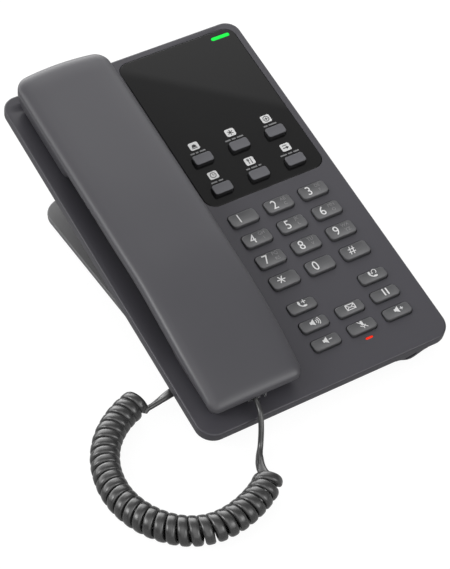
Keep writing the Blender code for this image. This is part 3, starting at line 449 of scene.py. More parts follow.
def settle(piece):
    """Applies the modifiers of a piece."""
    bpy.context.view_layer.update()
    graph = bpy.context.evaluated_depsgraph_get()
    old, name = piece.data, piece.data.name
    piece.data = bpy.data.meshes.new_from_object(piece.evaluated_get(graph))
    piece.modifiers.clear()
    bpy.data.meshes.remove(old)
    piece.data.name = name


def combine(piece, tool_bm, operation="DIFFERENCE"):
    """Cuts or joins a piece with a shape, at once."""
    tool = make_object("tool", tool_bm)
    modifier = piece.modifiers.new("tool", "BOOLEAN")
    modifier.operation = operation
    modifier.solver = "EXACT"
    modifier.object = tool
    settle(piece)
    bpy.data.objects.remove(tool)


def add_bevel(piece, width, segments, angle):
    bevel = piece.modifiers.new("edges", "BEVEL")
    bevel.width = width
    bevel.segments = segments
    bevel.limit_method = "ANGLE"
    bevel.angle_limit = math.radians(angle)
    return bevel


def finish_piece(piece, body, slot=None, replaced=None, material=None, angle=35, in_case_frame=True,
                 weighted=True):
    """Takes a piece to the world, shades it, gives it its material and lets it ride on its body."""
    mesh = piece.data
    if in_case_frame:
        mesh.transform(CASE)
    if not mesh.materials:
        mesh.materials.append(MATERIALS[material or slot])
    mesh.shade_smooth()
    mesh.set_sharp_from_angle(angle=math.radians(angle))
    if weighted:
        normals = piece.modifiers.new("normals", "WEIGHTED_NORMAL")
        normals.keep_sharp = True
        normals.weight = 80
    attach(piece, body)
    if replaced:
        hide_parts(replaced)


# Case

def trough_depth(x, y):
    """Depth of the cradle trough below the case top: it fades out at the front and is steep at the rear."""
    along = ramp(y, TROUGH_Y[0], -38.0) * ramp(y, TROUGH_Y[1], TROUGH_STEEP[1])
    left = min(max((x - TROUGH_X[0]) / 21.0, 0.0), 1.0) ** 1.4
    return TROUGH_DEPTH * along * left * ramp(x, TROUGH_X[1], TROUGH_STEEP[0])


def trough_sheet(bm, surface):
    """A grid over the trough at surface(x, y), finer at its steep sides; returns its rim's edges."""
    across = steps(TROUGH_X[0], TROUGH_STEEP[0], 26) + steps(TROUGH_STEEP[0], TROUGH_X[1], 9)[1:]
    along = steps(TROUGH_Y[0], TROUGH_STEEP[1], 66) + steps(TROUGH_STEEP[1], TROUGH_Y[1], 9)[1:]
    rows = [add_line(bm, [(x, y, surface(x, y)) for x in across]) for y in along]
    for low, high in zip(rows, rows[1:]):
        for i in range(len(across) - 1):
            bm.faces.new((low[i], low[i + 1], high[i + 1], high[i]))
    rim = []
    for line in (rows[0], rows[-1], [row[0] for row in rows], [row[-1] for row in rows]):
        rim += [bm.edges.get(pair) for pair in zip(line, line[1:])]
    return rim


def fill_round(bm, loop, rim):
    """Fills the flat region between an outer loop and the trough's rim."""
    edges = [bm.edges.get(pair) for pair in zip(loop, loop[1:] + loop[:1])]
    bmesh.ops.triangle_fill(bm, use_beauty=True, edges=edges + rim, normal=(0, 0, 1))


def case_blank():
    """The shell with its rim and its trough, before any opening."""
    half = span("top_case")[1].xy
    foot = rounding(CASE_FOOT_EDGE, -CASE_RIM, 4)[::-1]
    levels = rounding(CASE_EDGE, 0.0) + [(inset, -2 * CASE_RIM - level) for inset, level in foot]
    levels += [(CASE_WALL, -CASE_RIM), (CASE_WALL, -CASE_TOP)]
    bm = bmesh.new()
    loops = skin(bm, [[(x, y, level) for x, y in rounded((0, 0), half, CASE_CORNERS, inset, 14)]
                      for inset, level in levels], (False, False))
    fill_round(bm, loops[0], trough_sheet(bm, lambda x, y: -trough_depth(x, y)))
    fill_round(bm, loops[-1], trough_sheet(bm, lambda x, y: -max(CASE_TOP, trough_depth(x, y) + TROUGH_WALL)))
    return make_object("case_shell", bm)


def microphone_lobe(half_y):
    """The lobe under the front edge, over the microphone: a bell outline, rounded at its front face."""
    outlines = []
    for back, share, joined in ((0.1, 0.80, 0.8), (0.2, 0.90, 0.8), (0.45, 0.97, 0.8), (0.9, 1.0, 0.8),
                                (CASE_WALL - 0.1, 1.0, 0.8), (CASE_WALL, 1.0, -0.25),
                                (half_y + LOBE_BACK, 0.95, -0.25)):
        outline = [(-1, joined)]
        for across in steps(-1, 1, 32):
            bell = math.cos(math.pi * across / 2) ** 2
            outline.append((across, -0.26 - (LOBE_DROP - 0.01) * bell * share))
        outline.append((1, joined))
        outlines.append([(LOBE_X + LOBE_REACH * x, back - half_y, z - CASE_RIM) for x, z in outline])
    bm = bmesh.new()
    skin(bm, outlines)
    return bm


def microphone_port(half_y):
    """A slanted slot with round ends through the lobe's front."""
    turn = Matrix.Rotation(math.radians(-PORT_SLANT), 3, "Y")
    outline = []
    for side in (1, -1):
        for x, z in around((0, 0), PORT_R, -90, 90, 10):
            outline.append(side * Vector((PORT_HALF + x, 0, z)))
    bm = bmesh.new()
    skin(bm, [[turn @ (point * (1 + flare / PORT_HALF)) + Vector((LOBE_X, back - half_y, PORT_Z))
               for point in outline] for back, flare in ((-1, 0.25), (0.05, 0.25), (0.3, 0.0), (1.7, 0.0))])
    return bm


def cradle_ribs():
    bm = bmesh.new()
    x, half_x = sum(CRADLE_RIB_X) / 2, (CRADLE_RIB_X[1] - CRADLE_RIB_X[0]) / 2
    for y, top in CRADLE_RIBS:
        foot = -trough_depth(x, y) - 0.5
        plate(bm, (x, y), (half_x, 1.0), 0.9, rounding(0.4, top, 3) + [(0.0, foot)], 5)
    return bm


def top_openings():
    """Openings for the keys and the mute light, with rounded upper edges."""
    bm = bmesh.new()
    for key in KEYS:
        if key not in SERVICE_KEYS:
            *place, corner = key_outline(key)
            pocket(bm, place, KEY_CLEARANCE, corner + KEY_CLEARANCE, -6.0, 0.22)
    place = light_place("mute_light")
    pocket(bm, place, 0.2, place[1][1] + 0.15, -6.0, 0.12)
    return bm


def panel_openings(floor, corner_gap, flare, light_gap, light_corner_gap, light_flare, arc):
    """Openings for the panel's keys and its light, as deep as floor."""
    bm = bmesh.new()
    for key in SERVICE_KEYS:
        *place, corner = key_outline(key)
        pocket(bm, place, KEY_CLEARANCE, corner + corner_gap, floor, flare)
    place = light_place("message_light")
    pocket(bm, place, light_gap, place[1][1] + light_corner_gap, floor, light_flare, arc)
    return bm


def grille():
    """The loudspeaker's holes and the hole for the plunger."""
    bm = bmesh.new()
    for x in GRILLE_X:
        for y in GRILLE_Y:
            cylinder(bm, (x, y), GRILLE_HOLE_R, -12.0, 2.0, 20)
    cylinder(bm, flat_place("hook_plunger")[0], PLUNGER_HOLE_R, -12.0, 2.0)
    return bm


def make_case():
    case = case_blank()
    half_y = span("top_case")[1].y
    recess = bmesh.new()
    pocket(recess, flat_place("front_panel"), PANEL_GAP, PANEL_CORNER + PANEL_GAP,
           -PANEL_THICKNESS - PANEL_GAP, 0.2, 12)
    combine(case, recess)
    combine(case, top_openings())
    combine(case, panel_openings(-6.0, 0.0, 0.0, 0.3, 0.2, 0.0, 8))
    combine(case, microphone_lobe(half_y), "UNION")
    combine(case, microphone_port(half_y))
    combine(case, cradle_ribs(), "UNION")
    combine(case, grille())
    finish_piece(case, "base", "case_plastic", "top_case")


# Panel and lights

def make_panel():
    centre, half = flat_place("front_panel")
    bm = bmesh.new()
    plate(bm, centre, half, PANEL_CORNER, rounding(0.25, 0.0, 4) + [(0.0, -PANEL_THICKNESS)], 14)
    panel = make_object("glossy_panel", bm)
    combine(panel, panel_openings(-3.0, KEY_CLEARANCE, 0.15, 0.15, 0.1, 0.1, 10))
    finish_piece(panel, "base", "panel_gloss", "front_panel")


def light_place(node):
    """Centre and half size of a light guide; the mute light's lens is a slim slot over its guide."""
    centre, half = flat_place(node)
    return centre, (half[0], half[1] * (MUTE_LENS_SHARE if node == "mute_light" else 1.0))


def make_lights():
    for node, slot in (("message_light", "green_light"), ("mute_light", "red_light")):
        centre, half = light_place(node)
        levels = rounding(min(0.3, half[1] * 0.5), 0.12, 4) + [(0.0, span(node)[0].z)]
        bm = bmesh.new()
        plate(bm, centre, half, half[1] - 0.02, levels, 12)
        finish_piece(make_object(node + "_guide", bm), "base", slot, node)


# Keys

def key_kind(key):
    if key in SERVICE_KEYS:
        return "service"
    return "dial" if key in DIAL_KEYS else "function"


def key_outline(key):
    """Centre, half size and corner radius of a key."""
    return *flat_place(key), KEY_CORNERS[key_kind(key)]


def key_top(key):
    """The height of a key's top as a function of x and y: a wedge, slightly dished."""
    centre, half = flat_place(key)
    kind = key_kind(key)
    front, rear, dish = span(key)[1].z, KEY_REAR[kind], KEY_DISH[kind]

    def height(x, y):
        across, along = (x - centre[0]) / half[0], (y - centre[1]) / half[1]
        bowl = max(1 - across * across, 0.0) * max(1 - along * along, 0.0)
        return rear + (front - rear) * (1 - along) / 2 - dish * bowl
    return height


def make_key(key):
    centre, half, corner = key_outline(key)
    kind, top, foot = key_kind(key), key_top(key), span(key)[0].z
    edge = KEY_EDGE[kind]
    levels = [(0.0, lambda x, y: foot), (0.0, lambda x, y: KEY_REAR[kind] - edge - 0.4)]
    for inset, drop in reversed(rounding(edge, 0.0, 5)):
        levels.append((inset, lambda x, y, drop=drop: top(x, y) + drop))
    for share in (0.12, 0.28, 0.45, 0.62, 0.8):
        levels.append((edge + (half[1] - edge) * share, top))
    bm = bmesh.new()
    outlines = [rounded(centre, half, corner, inset, KEY_ARC, KEY_SIDE) for inset, _ in levels]
    loops = skin(bm, [[(x, y, height(x, y)) for x, y in outline]
                      for outline, (_, height) in zip(outlines, levels)], (True, False))
    end = KEY_SIDE // 2 + KEY_ARC + 1
    ladder(bm, loops[-1], end, end)
    cap = make_object(key + "_cap", bm)
    slot = "key_plastic"
    if kind == "service":
        slot = "service_key_plastic"
        cap.data.materials.append(MATERIALS[slot])
        # Faces below the top get the near-black side plastic: painted shade on the service key's sides
        cap.data.materials.append(MATERIALS["key_side"])
        limit = KEY_REAR[kind] - edge * 1.2 - 0.1
        for face in cap.data.polygons:
            face.material_index = 0 if face.center.z > limit else 1
    finish_piece(cap, body_of(key), slot, key)


# Printed symbols: each is a tuple of (width, points) strokes, and a stroke of no width is a filled outline

def stroke(width, *points):
    return width, points


def arc(centre, radius, start, end, width, count=12):
    return stroke(width, *around(centre, radius, start, end, count))


def bar(bm, points, width):
    """A printed stroke of even width with round ends, as a flat bar along the points."""
    line = [Vector((x, y, 0)) for x, y in points]
    stations = []
    for i, point in enumerate(line):
        forward = (line[min(i + 1, len(line) - 1)] - line[max(i - 1, 0)]).normalized()
        side = Vector((-forward.y, forward.x, 0))
        turns = ((-80, -55, -30) if i == 0 else ()) + (0,) + ((30, 55, 80) if i == len(line) - 1 else ())
        stations += [(point + forward * width / 2 * math.sin(turn), side * math.cos(turn), Z_AXIS)
                     for turn in map(math.radians, turns)]
    half = width / 2
    sweep(bm, stations, [(-half, 0), (half, 0), (half, PRINT_THICKNESS), (-half, PRINT_THICKNESS)])


def draw(bm, strokes, x, y):
    for width, points in strokes:
        placed = [(x + across, y + along) for across, along in points]
        if width:
            bar(bm, placed, width)
        else:
            skin(bm, [[(*point, level) for point in placed] for level in (0.0, PRINT_THICKNESS)])


def cone(x):
    """A loudspeaker: a small box with a horn."""
    return stroke(0, (x - 2.0, -0.75), (x - 1.1, -0.75), (x + 0.35, -1.9), (x + 0.35, 1.9), (x - 1.1, 0.75),
                  (x - 2.0, 0.75))


def plus(x, y, reach):
    return (stroke(0.42, (x - reach, y), (x + reach, y)), stroke(0.42, (x, y - 0.21), (x, y - reach)),
            stroke(0.42, (x, y + 0.21), (x, y + reach)))


def burst(reach, angles, width):
    """Strokes that cross in the middle."""
    ends = [around((0, 0), reach, angle, angle, 1)[0] for angle in angles]
    return tuple(stroke(width, (-x, -y), (x, y)) for x, y in ends)


# A receiver seen from the side, its hollow towards the upper right
RECEIVER = (arc((1.1, 1.5), 3.1, 188, 262, 0.62), arc((1.1, 1.5), 2.75, 177, 195, 1.05, 3),
            arc((1.1, 1.5), 2.75, 255, 273, 1.05, 3))
KEY_SYMBOLS = {
    "transfer_key": RECEIVER + plus(1.0, 1.3, 0.95),
    "redial_key": RECEIVER + (arc((1.0, 1.3), 1.15, -60, 200, 0.38),
                              stroke(0, (-0.75, 0.95), (0.35, 0.95), (-0.25, 0.15))),
    "speaker_key": (cone(-0.6), *(arc((-0.1, 0), radius, -42, 42, 0.36) for radius in (1.1, 2.0, 2.9))),
    "message_key": tuple(stroke(0.45, *points) for points in (
        ((-2.3, -1.5), (2.3, -1.5)), ((-2.3, 1.5), (2.3, 1.5)), ((-2.3, -1.0), (-2.3, 1.0)),
        ((2.3, -1.0), (2.3, 1.0)), ((-1.9, 1.05), (0, -0.35), (1.9, 1.05)), ((-1.9, -1.0), (-0.9, -0.2)),
        ((1.9, -1.0), (0.9, -0.2)))),
    "hold_key": (stroke(0.75, (-0.95, -1.7), (-0.95, 1.7)), stroke(0.75, (0.95, -1.7), (0.95, 1.7))),
    "volume_down_key": (cone(0), stroke(0.42, (1.3, 0), (2.7, 0))),
    "mute_key": (stroke(1.25, (0, 0.1), (0, 1.6)), arc((0, 0.2), 1.35, 200, 340, 0.36),
                 stroke(0.4, (0, -1.35), (0, -2.1)), stroke(0.42, (-1.9, 2.1), (1.9, -1.9))),
    "volume_up_key": (cone(0), *plus(2.0, 0, 0.75)),
}
# A bell, a star, a cross, a clock, cutlery and an arrow
SERVICE_SYMBOLS = (
    (stroke(0, (-1.35, -0.75), *around((0, -0.2), 1.2, 180, 0, 10), (1.35, -0.75)),
     stroke(0.35, (-1.5, -1.3), (1.5, -1.3))),
    burst(1.5, (90, 30, 150), 0.42),
    (arc((0, 0), 1.55, 0, 350, 0.36, 24), *plus(0, 0, 0.75)),
    (arc((0, 0), 1.5, 0, 350, 0.34, 24), stroke(0.3, (0, 0.85), (0, 0), (0.7, -0.1))),
    (*(stroke(0.22, (x, 0.6), (x, 1.5)) for x in (-1.15, -0.7, -0.25)),
     stroke(0.3, (-1.15, 0.5), (-0.25, 0.5)), stroke(0.36, (-0.7, 0.3), (-0.7, -1.5)),
     stroke(0.42, (0.9, -1.5), (0.9, 1.4))),
    (stroke(0.5, (-1.4, -0.4), (0.4, -0.4)), stroke(0, (0.3, -1.4), (1.6, -0.4), (0.3, 0.6)),
     stroke(0.34, (-1.2, 1.1), (0.9, 1.1))),
)


def letters(bm, text, size, centre, width):
    """Printed letters in Blender's own plain font; size is the height of a capital."""
    curve = bpy.data.curves.new("letters", "FONT")
    curve.body = text
    curve.size = size / 0.729
    curve.align_x, curve.align_y = "CENTER", "CENTER"
    curve.extrude = PRINT_THICKNESS / 2
    curve.resolution_u = 4
    sheet = bpy.data.objects.new("letters", curve)
    bpy.context.scene.collection.objects.link(sheet)
    bpy.context.view_layer.update()
    mesh = bpy.data.meshes.new_from_object(sheet.evaluated_get(bpy.context.evaluated_depsgraph_get()))
    low, high = span_of(vertex.co for vertex in mesh.vertices)
    mesh.transform(Matrix.Translation((*centre, PRINT_THICKNESS / 2)) @ Matrix.Diagonal((width, 1, 1, 1))
                   @ Matrix.Translation((low + high) / -2))
    bm.from_mesh(mesh)
    bpy.data.objects.remove(sheet)
    bpy.data.meshes.remove(mesh)


def finish_print(name, bm, body, material, surface, lift=0.01):
    """Lays a flat print on a surface."""
    for vertex in bm.verts:
        vertex.co.z += surface(vertex.co.x, vertex.co.y) + lift
    finish_piece(make_object(name, bm), body, material=material, angle=60, weighted=False)


def make_key_prints():
    for key, text in DIAL_KEYS.items():
        (x, y), _ = flat_place(key)
        digit, _, small = text.partition(" ")
        bm = bmesh.new()
        if digit == "*":
            draw(bm, burst(2.0, (0, 60, 120), 0.55), x + STAR_PLACE[0], y + STAR_PLACE[1])
        elif digit == "#":
            letters(bm, digit, HASH_HEIGHT, (x + HASH_PLACE[0], y + HASH_PLACE[1]), HASH_WIDTH)
        else:
            letters(bm, digit, DIGIT_HEIGHT, (x + DIGIT_PLACE[0], y + DIGIT_PLACE[1]), DIGIT_WIDTH)
        finish_print(key + "_digit", bm, body_of(key), "print_white", key_top(key))
        if small:
            bm = bmesh.new()
            for row, rise in zip((small[:2], small[2:]), LETTER_ROWS):
                letters(bm, row, LETTER_HEIGHT, (x + LETTER_X, y + rise), LETTER_WIDTH)
            finish_print(key + "_letters", bm, body_of(key), "print_grey", key_top(key))
    for key, strokes in KEY_SYMBOLS.items():
        (x, y), _ = flat_place(key)
        bm = bmesh.new()
        draw(bm, strokes, x + SYMBOL_PLACE[0], y + SYMBOL_PLACE[1])
        finish_print(key + "_symbol", bm, body_of(key), "print_white", key_top(key))


def make_panel_prints():
    """White tiles with dark symbols, and a row of plain grey dashes where a label would be."""
    tiles, symbols, labels = bmesh.new(), bmesh.new(), bmesh.new()
    sheet = [(0, PRINT_THICKNESS), (0, 0)]
    for key, strokes, words in zip(SERVICE_KEYS, SERVICE_SYMBOLS, LABEL_WORDS):
        (x, y), _ = flat_place(key)
        x, tile_y = x + TILE_OFFSET[0], y + TILE_OFFSET[1]
        plate(tiles, (x, tile_y), TILE_HALF, 0.9, sheet, 6)
        draw(symbols, strokes, x, tile_y)
        place = x - (sum(words) + WORD_GAP * (len(words) - 1)) / 2
        for width in words:
            plate(labels, (place + width / 2, y + LABEL_OFFSET), (width / 2, LABEL_HALF), 0.2, sheet, 3)
            place += width + WORD_GAP
    for name, bm, lift, material in (("service_tiles", tiles, 0.01, "print_white"),
                                     ("service_symbols", symbols, 0.02 + PRINT_THICKNESS, "print_black"),
                                     ("service_labels", labels, 0.01, "print_grey")):
        finish_print(name, bm, "base", material, lambda x, y: 0.0, lift)


# Handset

TOP_LOW, TOP_HIGH = span("handset_top_shell")
HANDSET_X, HANDSET_HALF = (TOP_LOW.x + TOP_HIGH.x) / 2, (TOP_HIGH.x - TOP_LOW.x) / 2
HANDSET_FRONT, HANDSET_REAR = TOP_LOW.y, TOP_HIGH.y
HANDSET_EDGE = TOP_HIGH.z - CROWN


def half_width(y):
    """Half width of the handset: a very slight waist ahead of the middle and a taper at the mouth end."""
    waist = WAIST * math.exp(-((y + 28) / 16) ** 2)
    return HANDSET_HALF - waist - MOUTH_TAPER * ramp(y, -68.0, HANDSET_FRONT)


def edge_height(y):
    """Height of the upper edge: falling a little to the rear and arching down to the mouth end."""
    reach = max(DROOP_START - y, 0.0) / (DROOP_START - HANDSET_FRONT)
    return HANDSET_EDGE - REAR_FALL * ramp(y, 0.0, 100.0) - DROOP * reach ** 1.85


def parting(y):
    """Height of the line between the two shells."""
    return edge_height(y) - SKIRT - (SKIRT_FRONT - SKIRT) * ramp(y, -55.0, -98.0)


def underside(y):
    """Height of the underside: ear cup, arched grip, mouth cup."""
    ear, mouth = ramp(y, 42.0, 53.0), ramp(y, -57.0, -66.0)
    arch = GRIP_BOTTOM + GRIP_ARCH * math.cos(math.radians(y * 1.6))
    return arch * (1 - ear) * (1 - mouth) + EAR_BOTTOM * ear + MOUTH_BOTTOM * mouth


def handset_ring(inset):
    """The handset's outline drawn in by inset, as (x, y) from the middle line, right side first."""
    half, front, rear = HANDSET_HALF - inset, HANDSET_FRONT + inset, HANDSET_REAR - HANDSET_BOW - inset
    front_r, rear_r = (max(radius - inset, 0.6) for radius in HANDSET_CORNERS)
    right = [(share * (half - front_r), front) for share in FRONT_SHARES]
    right += around((half - front_r, front + front_r), front_r, -90, 0, FRONT_ARC)
    right += [(half, y) for y in steps(front + front_r, rear - rear_r, 100)[1:-1]]
    right += around((half - rear_r, rear - rear_r), rear_r, 0, 90, REAR_ARC)
    right += [(share * (half - rear_r), rear) for share in REAR_SHARES]
    shaped = []
    for x, y in right:
        bow = HANDSET_BOW * (1 - (x / HANDSET_HALF) ** 2) * ramp(y, 60.0, 100.0)
        shaped.append((x * half_width(y) / HANDSET_HALF, y + bow))
    return shaped + [(-x, y) for x, y in reversed(shaped)]


def upper_height(x, y, inset):
    """The upper skin: a shallow crown that rolls off into a rounded edge."""
    def rise(distance):
        return 1 - (1 - min(max(distance, 0.0), CROWN_REACH) / CROWN_REACH) ** 2
    rear = HANDSET_REAR - HANDSET_BOW * (x / HANDSET_HALF) ** 2
    crown = CROWN * rise(half_width(y) - abs(x)) * rise(min(y - HANDSET_FRONT, rear - y))
    roll = (1 - min(inset, EDGE_REACH) / EDGE_REACH) ** EDGE_POWER
    return edge_height(y) + crown - EDGE_DROP * (1 - (1 - roll) ** (1 / EDGE_POWER))


def lower_height(y, inset, lift=0.0):
    """The lower skin: steep sides that turn into the flat underside."""
    share = 1 - (1 - min(max(inset - 0.4, 0.0) / 5.6, 1.0)) ** 2.7
    top = parting(y) - SHELL_GAP
    return top + (underside(y) + lift - top) * share


def shell(name, levels):
    """A closed shell of (inset, height function) levels: outer middle, rim, inner middle."""
    bm = bmesh.new()
    loops = skin(bm, [[(HANDSET_X + x, y, height(x, y)) for x, y in handset_ring(inset)]
                      for inset, height in levels], (False, False))
    for loop in (loops[0], loops[-1]):
        ladder(bm, loop, len(FRONT_SHARES) + FRONT_ARC + 1, len(REAR_SHARES) + REAR_ARC + 1)
    return make_object(name, bm)


def upper_levels():
    levels = [(inset, lambda x, y, inset=inset: upper_height(x, y, inset))
              for inset in (22, 18, 14.5, 12, 10, 8.4, 7, 6, 5.2, 4.4, 3.7, 3, 2.4, 1.9, 1.4, 1, 0.7, 0.45,
                            0.25, 0.1, 0)]
    for inset, above in ((0.0, 0.22), (0.06, 0.07), (0.2, 0.0), (SHELL_WALL, 0.0)):
        levels.append((inset, lambda x, y, above=above: parting(y) + above))
    for inset, drop in ((SHELL_WALL, 3.2), (3.6, 1.8), (13.0, 1.1), (22.0, 1.1)):
        levels.append((inset, lambda x, y, drop=drop: edge_height(y) - drop))
    return levels


def lower_levels():
    levels = [(inset, lambda x, y, inset=inset: lower_height(y, inset))
              for inset in (22, 18, 14, 10, 8, 6.8, 6, 5.4, 4.8, 4.2, 3.6, 3.1, 2.6, 2.2, 1.8, 1.45, 1.15,
                            0.9, 0.7, 0.55, 0.45)]
    for inset, below in ((0.5, 0.03), (0.65, 0.0)):
        levels.append((inset, lambda x, y, below=below: parting(y) - SHELL_GAP - below))
    for inset, outer, lift in ((0.4 + SHELL_WALL, 0.4, 0.0), (1.7 + SHELL_WALL, 1.7, SHELL_WALL),
                               (3.4 + SHELL_WALL, 3.4, SHELL_WALL), (14.0, 14.0, SHELL_WALL),
                               (22.0, 22.0, SHELL_WALL)):
        levels.append((inset, lambda x, y, outer=outer, lift=lift: lower_height(y, outer, lift)))
    return levels


def dish():
    """The earpiece's shallow dish."""
    bm = bmesh.new()
    cylinder(bm, (HANDSET_X, EAR_Y), 13.4, EAR_BOTTOM - 1.0, EAR_BOTTOM + 0.7, 72, 11.6)
    return bm


def sound_openings():
    """The earpiece's holes, one in a ring of six, and the mouthpiece's hole."""
    bm = bmesh.new()
    for x, y in [(0.0, 0.0)] + around((0, 0), SOUND_RING_R, 60, 360, 5):
        cylinder(bm, (HANDSET_X + x, EAR_Y + y), SOUND_HOLE_R, -6.0, 2.0, 24)
    cylinder(bm, (HANDSET_X, MOUTH_Y), SOUND_HOLE_R, -3.0, 4.0, 24)
    return bm


def plug_opening():
    """The opening for the cord's plug in the mouth end, with rounded corners."""
    low, high = span("handset_cord_plug")
    bm = bmesh.new()
    centre, half = ((low.x + high.x) / 2, (low.z + high.z) / 2), ((high.x - low.x) / 2 + 0.6, 2.5)
    outline = rounded(centre, half, 0.8, arc=6)
    skin(bm, [[(x, y, z) for x, z in outline] for y in (-110.0, -92.0)])
    return bm


def jack_seat():
    """Room for the socket inside the mouth end."""
    low, high = span("handset_jack")
    sides = (low.x - 0.3, high.x + 0.3), (low.y - 0.4, low.y + 6.0), (low.z - 0.3, high.z + 3.0)
    bm = bmesh.new()
    for vertex in bmesh.ops.create_cube(bm, size=1.0)["verts"]:
        vertex.co = [side[1] if place > 0 else side[0] for side, place in zip(sides, vertex.co)]
    return bm


def make_handset():
    upper, lower = shell("handset_upper_shell", upper_levels()), shell("handset_lower_shell", lower_levels())
    for cutter in (dish, sound_openings, plug_opening, jack_seat):
        combine(lower, cutter())
    finish_piece(upper, "handset", "handset_plastic", "handset_top_shell", angle=60, weighted=False)
    finish_piece(lower, "handset", "handset_plastic", "handset_bottom_shell", angle=40, weighted=False)


# Stand

def make_stand():
    """A U-shaped plate with rounded edges, knuckles at its hinge and a slot beside each arm."""
    hinge = (CASE @ Matrix.Translation(TO_CASE @ Vector(joint_of("stand_fold")["pos_m"]))
             @ Matrix.Rotation(math.radians(-STAND_ANGLE), 4, "X"))
    half_x = span("stand_plate")[1].x
    through = [(0, -5.0), (0, 5.0)]
    bm = bmesh.new()
    plate(bm, (0, (STAND_LENGTH - 1) / 2), (half_x, (STAND_LENGTH + 1) / 2), (0.8, STAND_CORNER),
          [(0, -STAND_HALF), (0, STAND_HALF)], 18)
    stand = make_object("folding_stand", bm)
    opening, half_y = bmesh.new(), 40.0
    plate(opening, (0, STAND_OPENING - half_y), (half_x - STAND_ARM, half_y), (1.0, 5.0), through)
    combine(stand, opening)
    add_bevel(stand, STAND_EDGE, 4, 50)
    settle(stand)
    knuckles, holes = bmesh.new(), bmesh.new()
    for side in (-1, 1):
        for bm, radius, reach in ((knuckles, KNUCKLE_R, (half_x - STAND_ARM, half_x - 0.05)),
                                  (holes, HINGE_HOLE_R, (half_x - STAND_ARM - 2, half_x + 2))):
            for vertex in cylinder(bm, (0, 0), radius, *sorted(side * place for place in reach), 40):
                vertex.co = Vector((vertex.co.z, vertex.co.x, vertex.co.y))
        plate(holes, (side * STAND_SLOT_X, sum(STAND_SLOT) / 2), (1.0, (STAND_SLOT[1] - STAND_SLOT[0]) / 2),
              0.9, through, 6)
    combine(stand, knuckles, "UNION")
    combine(stand, holes)
    stand.data.transform(hinge)
    # The stand is given its own lighter plastic in place of the base plastic: painted light on the stand
    finish_piece(stand, "stand", "base_plastic", "stand_plate", "stand_painted_light_plastic", in_case_frame=False)


# Cord, in world millimetres

def world_mm(x, y, z):
    """A point of the case frame in world millimetres."""
    return (CASE @ Vector((x, y, z))) / MM


def coil_centres():
    """The coil's centre line on the desk: three bends, from the case round to the handset."""
    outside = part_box("handset_cord")[0] / MM
    left, front = outside.x + COIL_OUTSIDE, outside.y + COIL_OUTSIDE
    bends = (((-82.6, 18.5), (-104.1, 12.4), (left, -5.1), (left, -23.1)),
             ((left, -23.1), (left, -39.5), (-101.9, front), (-81.1, front)),
             ((-81.1, front), (-69.3, front), (-56.2, -54.3), (-52.9, -50.2)))
    centres = []
    for bend in bends:
        a, b, c, d = (Vector((x, y, COIL_OUTSIDE)) for x, y in bend)
        centres += [bezier(a, b, c, d, t) for t in steps(0, 1, 80)[:-1]]
    return centres + [Vector((*bends[-1][-1], COIL_OUTSIDE))]


def coil_stations():
    """Stations of a helix round the centre line, with the ribbon's width along it."""
    centres = coil_centres()
    lengths = [0.0]
    for first, second in zip(centres, centres[1:]):
        lengths.append(lengths[-1] + (second - first).length)
    total, place, stations = COIL_TURNS * COIL_STEPS + COIL_STEPS // 2, 0, []
    for i in range(total + 1):
        distance = lengths[-1] * i / total
        while place < len(centres) - 2 and lengths[place + 1] < distance:
            place += 1
        share = (distance - lengths[place]) / (lengths[place + 1] - lengths[place])
        centre = centres[place].lerp(centres[place + 1], share)
        forward = (centres[min(place + 3, len(centres) - 1)] - centres[max(place - 2, 0)]).normalized()
        sideways = Vector((-forward.y, forward.x, 0))
        angle = 2 * math.pi * i / COIL_STEPS
        outward = math.cos(angle) * sideways + math.sin(angle) * Z_AXIS
        stations.append((centre + COIL_R * outward, forward, outward))
    return stations


def ribbon_frames(points, hints):
    """Stations along a line; their width vectors turn evenly from hint to hint (share, direction)."""
    stations = []
    for i, point in enumerate(points):
        forward = (points[min(i + 1, len(points) - 1)] - points[max(i - 1, 0)]).normalized()
        share = i / (len(points) - 1)
        wide = hints[-1][1]
        for (start, first), (end, second) in zip(hints, hints[1:]):
            if start <= share <= end:
                wide = first.lerp(second, ramp(share, start, end))
                break
        wide = (wide - wide.dot(forward) * forward).normalized()
        stations.append((point, wide, wide.cross(forward)))
    return stations


def align(stations):
    """Turns a station's section by half a turn where that keeps it closer to the one before."""
    aligned = stations[:1]
    for centre, wide, thick in stations[1:]:
        if wide.dot(aligned[-1][1]) < 0:
            wide, thick = -wide, -thick
        aligned.append((centre, wide, thick))
    return aligned


def make_cord():
    """A flat cord: a ribbon lead from the case, the coil, and a lead that twists up to the handset."""
    coil = coil_stations()
    low, high = span("base_cord_plug")
    case_end, start = world_mm(low.x - 0.2, (low.y + high.y) / 2, (low.z + high.z) / 2), coil[0][0]
    line = spline([case_end, case_end.lerp(start, 0.3), case_end.lerp(start, 0.75) - 0.8 * Z_AXIS, start], 10)
    flat, upright = Vector((0.1, 1.0, 0.2)), Vector((-0.34, -0.60, 0.72))
    base_lead = ribbon_frames(line, ((0.0, flat), (0.15, flat), (0.75, -upright), (1.0, -coil[0][1])))
    low, high = span("handset_cord_plug")
    plug = world_mm(low.x + 3.3, low.y - 0.4, (low.z + high.z) / 2)
    line = spline([coil[-1][0]] + [Vector(place) for place in HANDSET_LEAD] + [plug], 8)
    handset_lead = ribbon_frames(line, ((0.0, coil[-1][1]), (0.22, Vector((0.72, 0.0, 0.34))),
                                        (0.6, upright), (1.0, upright)))
    bm = bmesh.new()
    sweep(bm, align(base_lead[:-1] + coil + handset_lead[1:]), stadium(RIBBON_WIDTH, RIBBON_THICKNESS))
    cord = make_object("coiled_cord", bm, Matrix.Scale(MM, 4))
    cord.data.materials.append(MATERIALS["cord_rubber"])
    cord.data.shade_smooth()
    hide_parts("handset_cord")
    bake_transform(cord)


# Pieces that the frame already holds

